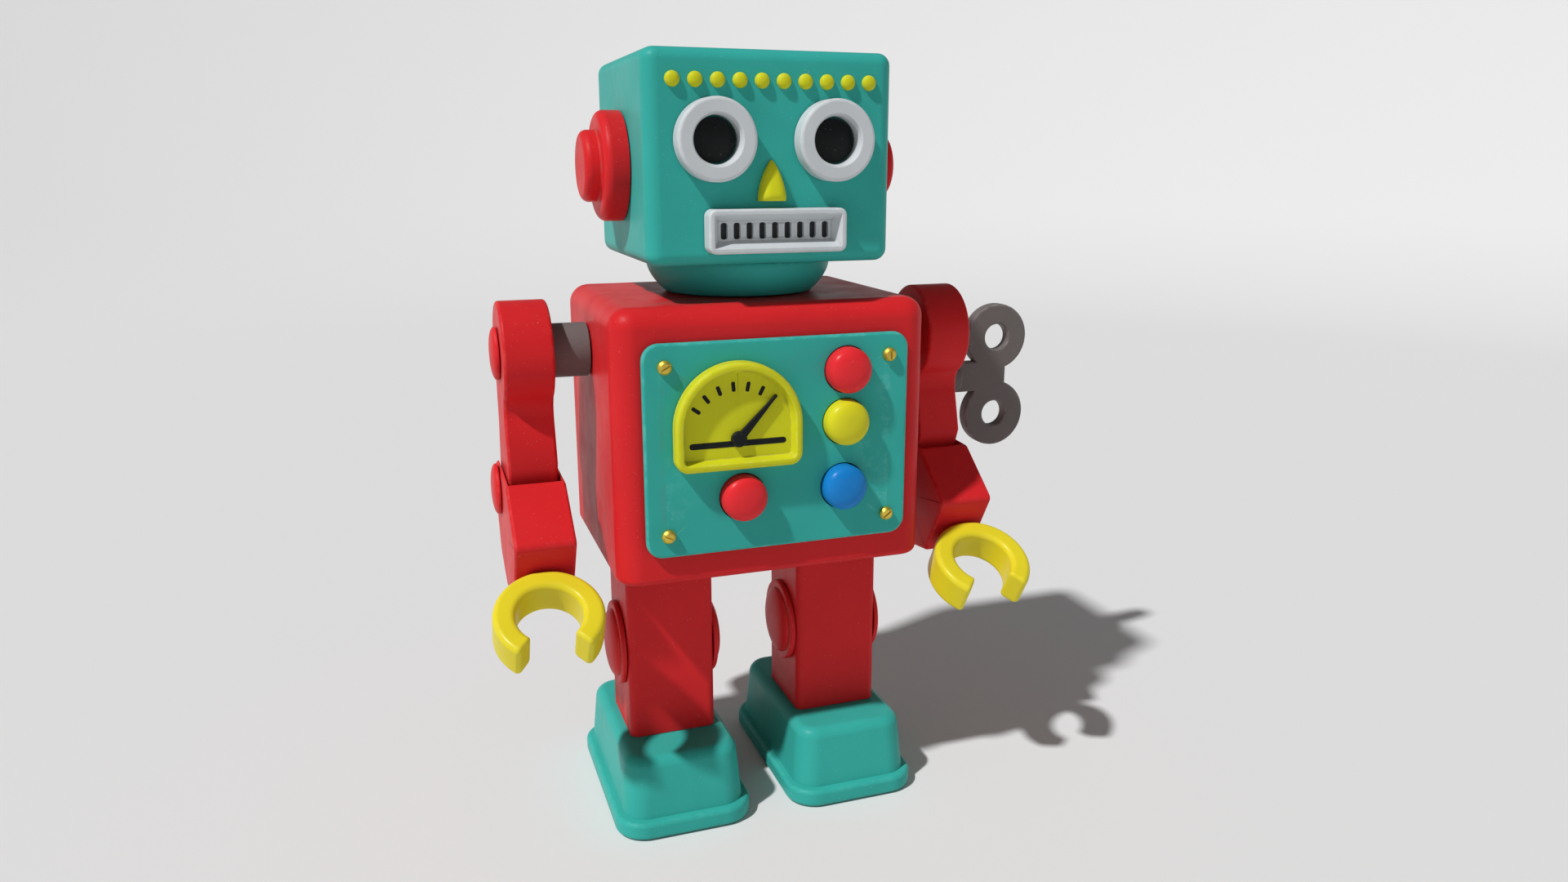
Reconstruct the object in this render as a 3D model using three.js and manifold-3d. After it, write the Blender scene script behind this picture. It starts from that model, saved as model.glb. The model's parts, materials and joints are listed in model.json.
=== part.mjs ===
// A wind-up tin robot, 200 mm tall.
//
// Frame: millimetres, +Z up, +X to the robot's own left, and the robot faces -Y.
// The origin is on the floor, under the middle of the whole toy's box. The builders below work
// from the robot's own middle, which PLACE then sets in that frame.
//
// The pressed-tin body hangs on a two-plate clockwork motor. The key on the left side winds
// the mainspring; the great wheel drives a cranked shaft, and the crank rocks the two legs
// about the hip axle. Head, arms and claws are turned by hand and held by friction.

import * as THREE from 'three';
import { mergeVertices } from 'three/addons/utils/BufferGeometryUtils.js';
import Module from 'manifold-3d';

const wasm = await Module();
wasm.setup();

// ---------------------------------------------------------------- driving dimensions

const TIN = 0.8; // wall of every pressed piece
const GAP = 0.3; // air between two neighbouring pieces
const PRESSED = 0.05; // air round a shaft that a wheel is pressed on to
const QUARTER = Math.PI / 2;
const PLACE = { x: -14, y: 5.29 }; // the robot's own middle: the key and claws reach out to +X and -Y
const PAST = 60; // how far a cutting solid runs, past everything it cuts

const TORSO = { width: 82, depth: 66, bottom: 72, top: 141, edge: 5, corner: 6, seamY: 24 };
const PANEL = { width: 68.8, height: 53.2, centreZ: 106.4, thick: 1.6, corner: 4.2 };
const HEAD = {
  width: 62, depth: 58, bottom: 150.3, top: 200, edge: 3, corner: 3.6, centreY: -0.8, holeR: 22,
};
const NECK = { lowR: 19.5, highR: 25.6, tubeR: 12, tubeBottom: 136 };
const EYE = { x: 14.8, z: 179.4, outerR: 9.6, innerR: 5.6, proud: 4.6 };
const MOUTH = { width: 34.6, height: 10.4, centreZ: 158.5, rim: 2.9, proud: 4.6, bars: 9 };
const EAR = { z: 173.4, y: -1, discR: 13.6, discProud: 6, capR: 8.8, capProud: 10 };
const BROW = { count: 10, pitch: 5.4, z: 192.8, studR: 1.8, proud: 1.3, stripHalf: 3 };
const SHOULDER = { z: 127.2, spacerR: 7, armIn: 51.3, armOut: 63.9, discR: 13.3 };
const RIVET = { headR: 6.8, headTall: 1.8, shankR: 1.8 };
const ELBOW = { y: 5.5, drop: 37.2, cheekIn: 50, cheekOut: 65.2 };
const WRIST = { y: -20.7, z: 72.6, tilt: THREE.MathUtils.degToRad(30.5) };
const CLAW = {
  outerR: 13.4, innerR: 8, wide: 10, halfGap: THREE.MathUtils.degToRad(39), x: 58.6, shankR: 3, headR: 4.2,
};
const LEG = { inner: 12.2, outer: 36, front: -14.4, back: 10.4, bottom: 21.8, top: 91, corner: 2.2 };
const HIP = { y: -2, z: 84, axleR: 1.5, axleHalf: 37.5 };
const KNEE = { z: 45, capR: 11.5, domeR: 9.4, ring: 1.3, tall: 3.4, pinR: 2 };
const NOSE = { x: -0.6, bottom: 165.4, tall: 9.6, footHalf: 3.5, topHalf: 0.9, footDeep: 3.6, topDeep: 1.4 };
const BOOT = {
  centreX: 24.25, centreY: -1.1, width: 37.3, length: 60.2, tall: 21.5, bead: 5, step: 1.6, lean: [0.1, 0.09],
  soleThick: 1.2,
};
const FRAME = { plateX: 8, thick: 1.2, front: -9, back: 29.5, bottom: 78.3, top: 131 };
const ARBOR = { y: 18.5, z: 109, r: 2.3, end: 74 };
const KEY = { eyeX: 89.7, eyeZ: 12.2, eyeR: 10.3, holeR: 4, thick: 4, hubR: 4.7, hubFrom: 67 };
const TRAIN = { module: 0.75, great: 32, crankPinion: 8, wheel: 24, governor: 8 };
// Where each shaft stands from the one that drives it, as an angle from +Y towards +Z.
const CRANK_ANGLE = THREE.MathUtils.degToRad(215);
const GOVERNOR_ANGLE = THREE.MathUtils.degToRad(120);
const CRANK = {
  ...meshedShaft(ARBOR, TRAIN.great + TRAIN.crankPinion, CRANK_ANGLE),
  shaftR: 1.5, throwR: 2.1, discR: 5, discX: 9.8, pinEnd: 11.9,
};
const GOVERNOR = {
  ...meshedShaft(CRANK, TRAIN.wheel + TRAIN.governor, GOVERNOR_ANGLE),
  shaftR: 1, flywheelR: 4.8,
};
const PILLAR_R = 1.6;
const PILLARS = [[-5, 83], [26, 83], [25.5, 127], [-5, 126]];

/** Where a shaft stands whose gear meshes with one on another shaft. */
function meshedShaft(from, teeth, angle) {
  const distance = teeth * TRAIN.module / 2;
  return { y: from.y + distance * Math.cos(angle), z: from.z + distance * Math.sin(angle) };
}

// ---------------------------------------------------------------- materials

const finish = (settings) => new THREE.MeshStandardMaterial(settings);
const paint = (color) => finish({ color, roughness: 0.38, metalness: 0 });
const plastic = (color) => finish({ color, roughness: 0.3, metalness: 0 });
const metal = (color, roughness) => finish({ color, roughness, metalness: 1 });

const RED = paint(0xd22832);
const TEAL = paint(0x3aafa4);
const YELLOW_PAINT = paint(0xc8c828);
const PALE_GREY = paint(0xbcbcc0);
const BLACK = paint(0x1a1c1c);
const RED_CAP = plastic(0xdc3237);
const YELLOW_CAP = plastic(0xcfc92a);
const BLUE_CAP = plastic(0x197dc3);
const CLAW_YELLOW = plastic(0xdccb30);
const GREY_STEEL = metal(0x5a5555, 0.55);
const BRASS = metal(0xc3b43c, 0.4);
const PLATE_TIN = metal(0xb4b4b0, 0.45);
const SPRING_STEEL = metal(0x4a5560, 0.35);

// ---------------------------------------------------------------- solids

/** A closed three.js geometry as a solid, its shared points merged and empty triangles dropped. */
function solid(geometry) {
  const bare = geometry.clone();
  bare.deleteAttribute('normal');
  bare.deleteAttribute('uv');
  const merged = mergeVertices(bare, 1e-4);
  const corners = merged.index.array;
  const triangles = [];
  for (let i = 0; i < corners.length; i += 3) {
    const [a, b, c] = [corners[i], corners[i + 1], corners[i + 2]];
    if (a !== b && b !== c && c !== a) triangles.push(a, b, c);
  }
  return new wasm.Manifold(new wasm.Mesh({
    numProp: 3,
    vertProperties: merged.attributes.position.array,
    triVerts: Uint32Array.from(triangles),
  }));
}

/** A solid's surface as a plain three.js geometry. */
function surfaceOf(shape) {
  const { vertProperties, triVerts } = shape.getMesh();
  const geometry = new THREE.BufferGeometry();
  geometry.setAttribute('position', new THREE.BufferAttribute(vertProperties, 3));
  geometry.setIndex(new THREE.BufferAttribute(triVerts, 1));
  return geometry;
}

/** A named mesh made from a solid, added to a group. */
function piece(name, shape, material, group) {
  const geometry = surfaceOf(shape);
  geometry.computeVertexNormals();
  const mesh = new THREE.Mesh(geometry, material);
  mesh.name = name;
  group.add(mesh);
  return mesh;
}

/** A rectangle centred on the origin with its four corners rounded. */
function roundedRect(width, height, radius) {
  const x = width / 2 - radius;
  const y = height / 2 - radius;
  const shape = new THREE.Shape();
  shape.absarc(x, y, radius, 0, QUARTER);
  shape.absarc(-x, y, radius, QUARTER, 2 * QUARTER);
  shape.absarc(-x, -y, radius, 2 * QUARTER, 3 * QUARTER);
  shape.absarc(x, -y, radius, 3 * QUARTER, 4 * QUARTER);
  return shape;
}

/** An outline from a list of [x, y] points. */
function outline(points) {
  return new THREE.Shape(points.map(([x, y]) => new THREE.Vector2(x, y)));
}

/** An outline pushed up from z = 0, its two rims rounded by edge. */
function slab(shape, height, edge = 0, rounds = 1, curveSegments = 4) {
  return new THREE.ExtrudeGeometry(shape, {
    depth: height - 2 * edge,
    curveSegments,
    bevelEnabled: edge > 0,
    bevelThickness: edge,
    bevelSize: edge,
    bevelOffset: -edge,
    bevelSegments: rounds,
  }).translate(0, 0, edge);
}

/** A box rounded on all twelve edges, standing on z = 0. */
function roundedBox(width, depth, height, corner, edge, rounds = 2) {
  return slab(roundedRect(width, depth, corner), height, edge, rounds, 3);
}

/** A square-edged box between two corners. */
function block(low, high) {
  const size = high.map((value, i) => value - low[i]);
  const middle = high.map((value, i) => (value + low[i]) / 2);
  return solid(new THREE.BoxGeometry(...size).translate(...middle));
}

/** A round piece: a closed [radius, height] profile turned about the Z axis. */
function turned(profile, segments = 20) {
  const points = [...profile, profile[0]].map(([r, h]) => new THREE.Vector2(r, h));
  return new THREE.LatheGeometry(points, segments).rotateX(QUARTER);
}

/** A rod between two heights on the Z axis. */
function rod(radius, from, to, segments = 12) {
  return turned([[0, from], [radius, from], [radius, to], [0, to]], segments);
}

/** Turn a geometry built along +Z so that it runs along +X. */
function alongX(geometry) {
  return geometry.rotateY(QUARTER);
}

/** Turn a geometry built in the XY plane so that it stands in XZ and grows towards -Y. */
function facingFront(geometry) {
  return geometry.rotateX(QUARTER);
}

/** Turn an outline drawn as [y, z] and pushed up in Z so that it is pushed along +X. */
function sideways(geometry) {
  return geometry.rotateY(QUARTER).rotateX(QUARTER);
}

/** A rod along X through (y, z), as a solid. */
function rodX(radius, from, to, y = 0, z = 0, segments = 12) {
  return solid(alongX(rod(radius, from, to, segments)).translate(0, y, z));
}

/** A rod along Y through (x, z), as a solid. */
function rodY(radius, from, to, x, z, segments = 12) {
  return solid(rod(radius, -to, -from, segments).rotateX(QUARTER).translate(x, 0, z));
}

/** Spur gear outline: straight-flanked teeth between the root and tip circles. */
function gearShape(teeth, module) {
  const pitchR = teeth * module / 2;
  const tip = pitchR + 0.8 * module;
  const root = pitchR - 1.05 * module;
  const step = 2 * Math.PI / teeth;
  const points = [];
  for (let i = 0; i < teeth; i += 1) {
    const corners = [[root, -0.34], [tip, -0.12], [tip, 0.12], [root, 0.34]];
    for (const [r, part] of corners) {
      const angle = (i + part) * step;
      points.push([r * Math.cos(angle), r * Math.sin(angle)]);
    }
  }
  return outline(points);
}

/** A gear along X, its first tooth turned by phase. */
function gearX(teeth, from, to, phase) {
  const geometry = slab(gearShape(teeth, TRAIN.module), to - from).rotateZ(phase);
  return solid(sideways(geometry).translate(from, 0, 0));
}

const robot = new THREE.Group();
robot.name = 'tin_robot';
const SIDES = [['right', -1], ['left', 1]];

// ---------------------------------------------------------------- torso

/** The whole torso as one hollow box, before it is split at the seam. */
function torsoBox() {
  const height = TORSO.top - TORSO.bottom;
  const outer = roundedBox(TORSO.width, TORSO.depth, height, TORSO.corner, TORSO.edge);
  const inner = roundedBox(TORSO.width - 2 * TIN, TORSO.depth - 2 * TIN, height - 2 * TIN,
    TORSO.corner - TIN, TORSO.edge - TIN);
  const lip = 4; // flange left round the open floor
  const floorHole = slab(roundedRect(TORSO.width - 2 * lip, TORSO.depth - 2 * lip - 1, 3), 4 * TIN);
  return solid(outer.translate(0, 0, TORSO.bottom))
    .subtract(solid(inner.translate(0, 0, TORSO.bottom + TIN)))
    .subtract(solid(floorHole.translate(0, 0, TORSO.bottom - TIN)));
}

const BUTTONS = [
  ['button_red_top', 17.6, 124.2, RED_CAP],
  ['button_yellow', 17.2, 110.9, YELLOW_CAP],
  ['button_blue', 16.8, 94.1, BLUE_CAP],
  ['button_red_low', -9.9, 93.8, RED_CAP],
];
const BUTTON = { r: 5.8, proud: 4.7, flangeR: 6.5, flangeThick: 1 };
const SCREW = { shankR: 1, holeR: 1.3, headR: 1.75, length: 5 };
const SCREWS = [[-29, 127.4], [29, 127.4], [-29, 85.5], [29, 85.5]];
const FRONT = -TORSO.depth / 2;
const PANEL_FACE = FRONT - GAP - PANEL.thick;

function buildTorso() {
  const torso = new THREE.Group();
  const whole = torsoBox();
  const sideWall = [TORSO.width / 2 - 3, TORSO.width / 2 + 2];
  const frontWall = [FRONT - 1, FRONT + 3];
  const shoulderHole = rodX(RIVET.shankR + GAP, ...sideWall, 0, SHOULDER.z);
  let shell = whole.intersect(block([-PAST, -PAST, 0], [PAST, TORSO.seamY, 4 * PAST]))
    .subtract(solid(rod(NECK.tubeR + GAP, TORSO.top - 3, TORSO.top + 1, 28)))
    .subtract(rodX(ARBOR.r + GAP, ...sideWall, ARBOR.y, ARBOR.z))
    .subtract(shoulderHole)
    .subtract(shoulderHole.mirror([1, 0, 0]));
  for (const [, x, z] of BUTTONS) shell = shell.subtract(rodY(BUTTON.r + GAP, ...frontWall, x, z, 16));
  for (const [x, z] of SCREWS) shell = shell.subtract(rodY(SCREW.holeR, ...frontWall, x, z, 6));
  piece('body_shell', shell, RED, torso);

  const cover = whole.intersect(block([-PAST, TORSO.seamY + GAP, 0], [PAST, PAST, 4 * PAST]));
  piece('rear_cover', cover, RED, torso);

  const baseZ = TORSO.bottom + TORSO.edge;
  const inset = 2 * (TIN + 2 * GAP);
  const plate = slab(roundedRect(TORSO.width - inset, TORSO.depth - inset, 5), TIN, 0, 1, 3);
  const legPlay = 0.6; // beside each leg, and legSwing before and behind it
  const legSwing = 1.8;
  const low = [LEG.inner - legPlay, LEG.front - legSwing, baseZ - 1];
  const high = [LEG.outer + legPlay, LEG.back + legSwing, baseZ + 3];
  const legSlot = block(low, high);
  const base = solid(plate.translate(0, 0, baseZ)).subtract(legSlot).subtract(legSlot.mirror([1, 0, 0]));
  piece('base_plate', base, PLATE_TIN, torso);
  return torso;
}

function buildPanel() {
  const panel = new THREE.Group();
  const blank = slab(roundedRect(PANEL.width, PANEL.height, PANEL.corner), PANEL.thick, 0.4, 1);
  const through = [FRONT - 4, FRONT];
  let plate = solid(facingFront(blank).translate(0, FRONT - GAP, PANEL.centreZ));
  for (const [, x, z] of BUTTONS) plate = plate.subtract(rodY(BUTTON.r + GAP, ...through, x, z, 16));
  for (const [x, z] of SCREWS) plate = plate.subtract(rodY(SCREW.holeR, ...through, x, z, 6));
  piece('control_panel', plate, TEAL, panel);

  const { shankR, headR, length } = SCREW;
  const screw = [
    [0, -length], [shankR, -length], [shankR, GAP], [headR, GAP], [1.6, 1], [0.9, 1.5], [0, 1.6],
  ];
  SCREWS.forEach(([x, z], i) => {
    const mesh = piece(`panel_screw_${i + 1}`, solid(facingFront(turned(screw, 8))), BRASS, panel);
    mesh.position.set(x, PANEL_FACE, z);
  });

  const { r, proud, flangeR, flangeThick } = BUTTON;
  const back = -(PANEL.thick + 2 * GAP + TIN);
  const cap = [
    [0, back - flangeThick], [flangeR, back - flangeThick], [flangeR, back], [r, back], [r, 1.9],
    [r * 0.93, 3], [r * 0.76, 3.9], [r * 0.45, 4.5], [0, proud],
  ];
  for (const [name, x, z, material] of BUTTONS) {
    const mesh = piece(name, solid(facingFront(turned(cap, 16))), material, panel);
    mesh.position.set(x, PANEL_FACE, z);
  }
  return panel;
}

const GAUGE = { x: -11.3, z: 101.7, halfWidth: 16.1, side: 9.6, arch: 16.9, corner: 3.2, rim: 2.4 };
const NEEDLE = { hubR: 2, reach: 14, lean: 0.75, pivotZ: 7.3 };

/** The gauge's outline: a flat foot with rounded corners, two short sides and an arched top. */
function gaugeShape(inset) {
  const half = GAUGE.halfWidth - inset;
  const r = GAUGE.corner - inset / 2;
  const shape = new THREE.Shape();
  shape.absarc(-half + r, inset + r, r, 2 * QUARTER, 3 * QUARTER);
  shape.absarc(half - r, inset + r, r, 3 * QUARTER, 4 * QUARTER);
  shape.absellipse(0, GAUGE.side, half, GAUGE.arch - inset, 0, 2 * QUARTER);
  return shape;
}

function buildGauge() {
  const gauge = new THREE.Group();
  gauge.position.set(GAUGE.x, PANEL_FACE - GAP, GAUGE.z);
  const proud = 3.6;
  const face = 1;
  const well = slab(gaugeShape(GAUGE.rim), proud).translate(0, 0, face);
  const housing = solid(slab(gaugeShape(0), proud, 0.9, 1)).subtract(solid(well));
  piece('gauge_housing', solid(facingFront(surfaceOf(housing))), YELLOW_PAINT, gauge);

  const { hubR, reach, lean, pivotZ } = NEEDLE;
  const pointer = outline([[-0.9, 0], [0.9, 0], [0.35, reach], [-0.35, reach]]);
  const needle = solid(rod(hubR, 0, 1, 14)).add(solid(slab(pointer, TIN))).translate([0, 0, face + GAP]);
  const turnedNeedle = facingFront(surfaceOf(needle).rotateZ(-lean));
  piece('gauge_needle', solid(turnedNeedle), BLACK, gauge).position.z = pivotZ;
  return gauge;
}

// ---------------------------------------------------------------- head

const HEAD_FRONT = HEAD.centreY - HEAD.depth / 2;

function buildHead() {
  const head = new THREE.Group();
  const tall = HEAD.top - HEAD.bottom;
  const box = (inset) => solid(roundedBox(HEAD.width - 2 * inset, HEAD.depth - 2 * inset, tall - 2 * inset,
    HEAD.corner - inset, HEAD.edge - inset).translate(0, HEAD.centreY, HEAD.bottom + inset));
  const floorHole = solid(rod(HEAD.holeR, HEAD.bottom - 1, HEAD.bottom + 3, 24));
  let shell = box(0).subtract(box(TIN)).subtract(floorHole);
  const studs = Array.from({ length: BROW.count }, (_, i) => (i - (BROW.count - 1) / 2) * BROW.pitch);
  for (const x of studs) {
    shell = shell.subtract(rodY(BROW.studR + GAP, HEAD_FRONT - 1, HEAD_FRONT + 3, x, BROW.z, 8));
  }
  piece('head_shell', shell, TEAL, head);

  const { studR, proud: studProud, stripHalf } = BROW;
  const depth = 2 * TIN + GAP;
  const stripBack = HEAD_FRONT + depth;
  let strip = block([-HEAD.width / 2 + 4, stripBack - TIN, BROW.z - stripHalf],
    [HEAD.width / 2 - 4, stripBack, BROW.z + stripHalf]);
  const stud = [[0, -depth], [studR, -depth], [studR, GAP], [1, studProud], [0, studProud]];
  for (const x of studs) {
    strip = strip.add(solid(facingFront(turned(stud, 8)).translate(x, HEAD_FRONT, BROW.z)));
  }
  piece('brow_studs', strip, YELLOW_PAINT, head);

  const { lowR, highR, tubeR, tubeBottom } = NECK;
  const low = TORSO.top + GAP;
  const high = HEAD.bottom - GAP;
  const collar = [
    [tubeR - 1, tubeBottom], [14.6, tubeBottom], [14.6, tubeBottom + 1], [tubeR, tubeBottom + 1],
    [tubeR, low], [lowR, low], [22.4, low + 2], [24.4, low + 4.6], [highR, high], [highR - 1.2, high],
    [23.2, low + 5], [21.4, low + 3], [18.6, low + 1.2], [tubeR - 1, low + 1.2],
  ];
  piece('neck_collar', solid(turned(collar, 20)), TEAL, head);

  for (const [name, side] of SIDES) {
    const ring = [
      [EYE.innerR, 0], [EYE.outerR, 0], [EYE.outerR, 3.3], [8.7, 4.5], [6.9, EYE.proud], [5.9, 3.6],
    ];
    const ringMesh = piece(`${name}_eye_ring`, solid(facingFront(turned(ring, 20))), PALE_GREY, head);
    ringMesh.position.set(side * EYE.x, HEAD_FRONT - GAP, EYE.z);
    const lensR = EYE.innerR - GAP;
    const lens = [[0, 0], [lensR, 0], [lensR, 1.2], [lensR * 0.6, 1.7], [0, 1.9]];
    const lensMesh = piece(`${name}_eye_lens`, solid(facingFront(turned(lens, 14))), BLACK, head);
    lensMesh.position.copy(ringMesh.position);

    const { discR, discProud, capR, capProud } = EAR;
    const ear = [
      [0, 0], [discR, 0], [discR, 4.6], [discR - 1.2, discProud], [capR, discProud], [capR, 8.8],
      [capR - 1.2, capProud], [0, capProud],
    ];
    const earMesh = piece(`${name}_ear`, solid(alongX(turned(ear, 22))), RED, head);
    earMesh.position.set(side * (HEAD.width / 2 + GAP), EAR.y, EAR.z);
    earMesh.rotation.z = side > 0 ? 0 : Math.PI;
  }

  const { tall: noseTall, footHalf, topHalf, footDeep, topDeep } = NOSE;
  const noseFront = outline([[-footHalf, 0], [footHalf, 0], [topHalf, noseTall], [-topHalf, noseTall]]);
  const noseSide = outline([[0, 0], [0, noseTall], [-topDeep, noseTall], [-footDeep, 1.6], [-footDeep, 0]]);
  const noseSolid = solid(facingFront(slab(noseFront, footDeep + 1)))
    .intersect(solid(sideways(slab(noseSide, 3 * footHalf)).translate(-1.5 * footHalf, 0, 0)));
  piece('nose', noseSolid, YELLOW_PAINT, head).position.set(NOSE.x, HEAD_FRONT - GAP, NOSE.bottom);

  const { width, height, rim, proud, bars } = MOUTH;
  const opening = [width - 2 * rim, height - 2 * rim];
  const faceDepth = 1.2;
  const recess = slab(roundedRect(...opening, 0.6), proud, 0, 1, 1).translate(0, 0, faceDepth);
  let grille = solid(slab(roundedRect(width, height, 1.6), proud, 0.8, 1, 2)).subtract(solid(recess));
  const pitch = (opening[0] - 2) / bars;
  const slotHalf = [0.75, opening[1] / 2 - 0.7];
  for (let i = 0; i < bars; i += 1) {
    const x = (i - (bars - 1) / 2) * pitch;
    grille = grille.subtract(block([x - slotHalf[0], -slotHalf[1], -1], [x + slotHalf[0], slotHalf[1], 3]));
  }
  const mouth = piece('mouth_grille', solid(facingFront(surfaceOf(grille))), PALE_GREY, head);
  mouth.position.set(0, HEAD_FRONT - GAP, MOUTH.centreZ);
  return head;
}

// ---------------------------------------------------------------- arms

/** Upper arm outline as [y, z] about the shoulder axis: a round shoulder, a shank and a round elbow. */
function upperArmShape(inset) {
  const { degToRad } = THREE.MathUtils;
  const elbowR = 10 - inset;
  const shape = new THREE.Shape();
  shape.absarc(0, 0, SHOULDER.discR - inset, degToRad(-32), degToRad(218));
  shape.lineTo(-6 + inset, -17);
  shape.lineTo(-9 + inset, -28);
  shape.lineTo(-5.5 + inset, -ELBOW.drop);
  shape.absarc(ELBOW.y, -ELBOW.drop, elbowR, degToRad(200), degToRad(350));
  shape.lineTo(11 - inset, -20);
  return shape;
}

// Forearm outlines as [y, z] about the elbow axis: the folded front and wrist, then the cheeks' free edge.
const FOREARM = [
  [-17.4, 5.2], [-32.6, -6.4], [-22.6, -23.4], [-5.5, -25.6], [7, -20], [11.6, -10.6], [8, 6.2],
];
const FOREARM_HOLLOW = [
  [-16.4, 8], [-16.6, 4.1], [-31.2, -6.8], [-22.2, -22], [-18, -40], [30, -40], [30, 20], [-16.4, 20],
];

function buildArm(name, side) {
  const arm = new THREE.Group();
  arm.position.set(0, 0, SHOULDER.z);
  const wide = SHOULDER.armOut - SHOULDER.armIn;
  const turn = side > 0 ? 0 : Math.PI;

  const spacer = solid(rod(SHOULDER.spacerR, 0, SHOULDER.armIn - TORSO.width / 2 - 2 * GAP, 24))
    .subtract(solid(rod(RIVET.shankR + GAP, -1, 20, 12)));
  const spacerMesh = piece(`${name}_shoulder_spacer`, solid(alongX(surfaceOf(spacer))), GREY_STEEL, arm);
  spacerMesh.position.x = side * (TORSO.width / 2 + GAP);
  spacerMesh.rotation.z = turn;

  const armX = side * (SHOULDER.armIn + SHOULDER.armOut) / 2;
  const skin = solid(sideways(slab(upperArmShape(0), wide, 0.6, 1)).translate(-wide / 2, 0, 0));
  const hollow = solid(sideways(slab(upperArmShape(TIN), wide - 2 * TIN)).translate(TIN - wide / 2, 0, 0));
  const boss = rodX(RIVET.shankR + 1.6, -wide / 2, wide / 2);
  const backOpening = block([TIN - wide / 2, 2, -PAST], [wide / 2 - TIN, PAST, -15]);
  const pinHole = rodX(RIVET.shankR + GAP, -PAST, PAST);
  const upper = skin.subtract(hollow.subtract(boss)).subtract(backOpening).subtract(pinHole)
    .subtract(pinHole.translate([0, ELBOW.y, -ELBOW.drop]));
  piece(`${name}_upper_arm`, upper, RED, arm).position.x = armX;

  const rivet = (shankLength) => solid(alongX(turned([
    [0, -shankLength], [RIVET.shankR, -shankLength], [RIVET.shankR, 0], [RIVET.headR, 0], [6.2, 1],
    [4.2, RIVET.headTall - 0.2], [0, RIVET.headTall],
  ], 16)));
  const toTorso = SHOULDER.armOut - TORSO.width / 2; // the shank ends 1.4 mm inside the torso's wall
  const shoulderRivet = piece(`${name}_shoulder_rivet`, rivet(toTorso - 1.4), RED, arm);
  shoulderRivet.position.x = side * (SHOULDER.armOut + GAP);
  shoulderRivet.rotation.z = turn;

  const forearm = new THREE.Group();
  forearm.position.set(0, ELBOW.y, -ELBOW.drop);
  arm.add(forearm);
  const span = ELBOW.cheekOut - ELBOW.cheekIn;
  const foreX = (ELBOW.cheekIn + ELBOW.cheekOut) / 2;
  const sheet = sideways(slab(outline(FOREARM), span, 0.6, 1)).translate(-span / 2, 0, 0);
  const inside = sideways(slab(outline(FOREARM_HOLLOW), span - 2 * TIN)).translate(TIN - span / 2, 0, 0);
  const wristY = WRIST.y - ELBOW.y;
  const wristZ = WRIST.z - SHOULDER.z + ELBOW.drop;
  const toWrist = new THREE.Matrix4().makeRotationX(QUARTER + WRIST.tilt)
    .setPosition(side * (CLAW.x - foreX), wristY, wristZ);
  const shankHole = solid(rod(CLAW.shankR + GAP, -6, 6, 16).applyMatrix4(toWrist));
  const fore = solid(sheet).subtract(solid(inside)).subtract(shankHole).subtract(pinHole);
  piece(`${name}_forearm`, fore, RED, forearm).position.x = side * foreX;

  const elbowRivet = piece(`${name}_elbow_rivet`, rivet(span), RED, forearm);
  elbowRivet.position.x = side * (ELBOW.cheekOut + GAP);
  elbowRivet.rotation.z = turn;

  const hand = new THREE.Group();
  hand.position.set(side * CLAW.x, wristY, wristZ);
  hand.rotation.x = QUARTER + WRIST.tilt;
  forearm.add(hand);
  piece(`${name}_claw`, clawSolid(), CLAW_YELLOW, hand);
  return arm;
}

/** C-shaped claw, its shank along -Z from the wrist and its opening towards +Z. */
function clawSolid() {
  const { outerR, innerR, wide, halfGap, shankR, headR } = CLAW;
  const centre = outerR + GAP + 0.2;
  const shankEnd = -3.8;
  const from = QUARTER + halfGap;
  const to = QUARTER - halfGap + 4 * QUARTER;
  const shape = new THREE.Shape();
  shape.absarc(0, 0, outerR, from, to);
  shape.absarc(0, 0, innerR, to, from, true);
  const band = slab(shape, wide, 1.2, 1, 14).translate(0, 0, -wide / 2)
    .rotateX(QUARTER).translate(0, 0, centre);
  const shank = solid(rod(shankR, shankEnd, centre - innerR - 1, 16));
  const head = solid(rod(headR, shankEnd, -TIN - 3 * GAP, 16));
  return solid(band).add(shank).add(head);
}

// ---------------------------------------------------------------- legs

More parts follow.
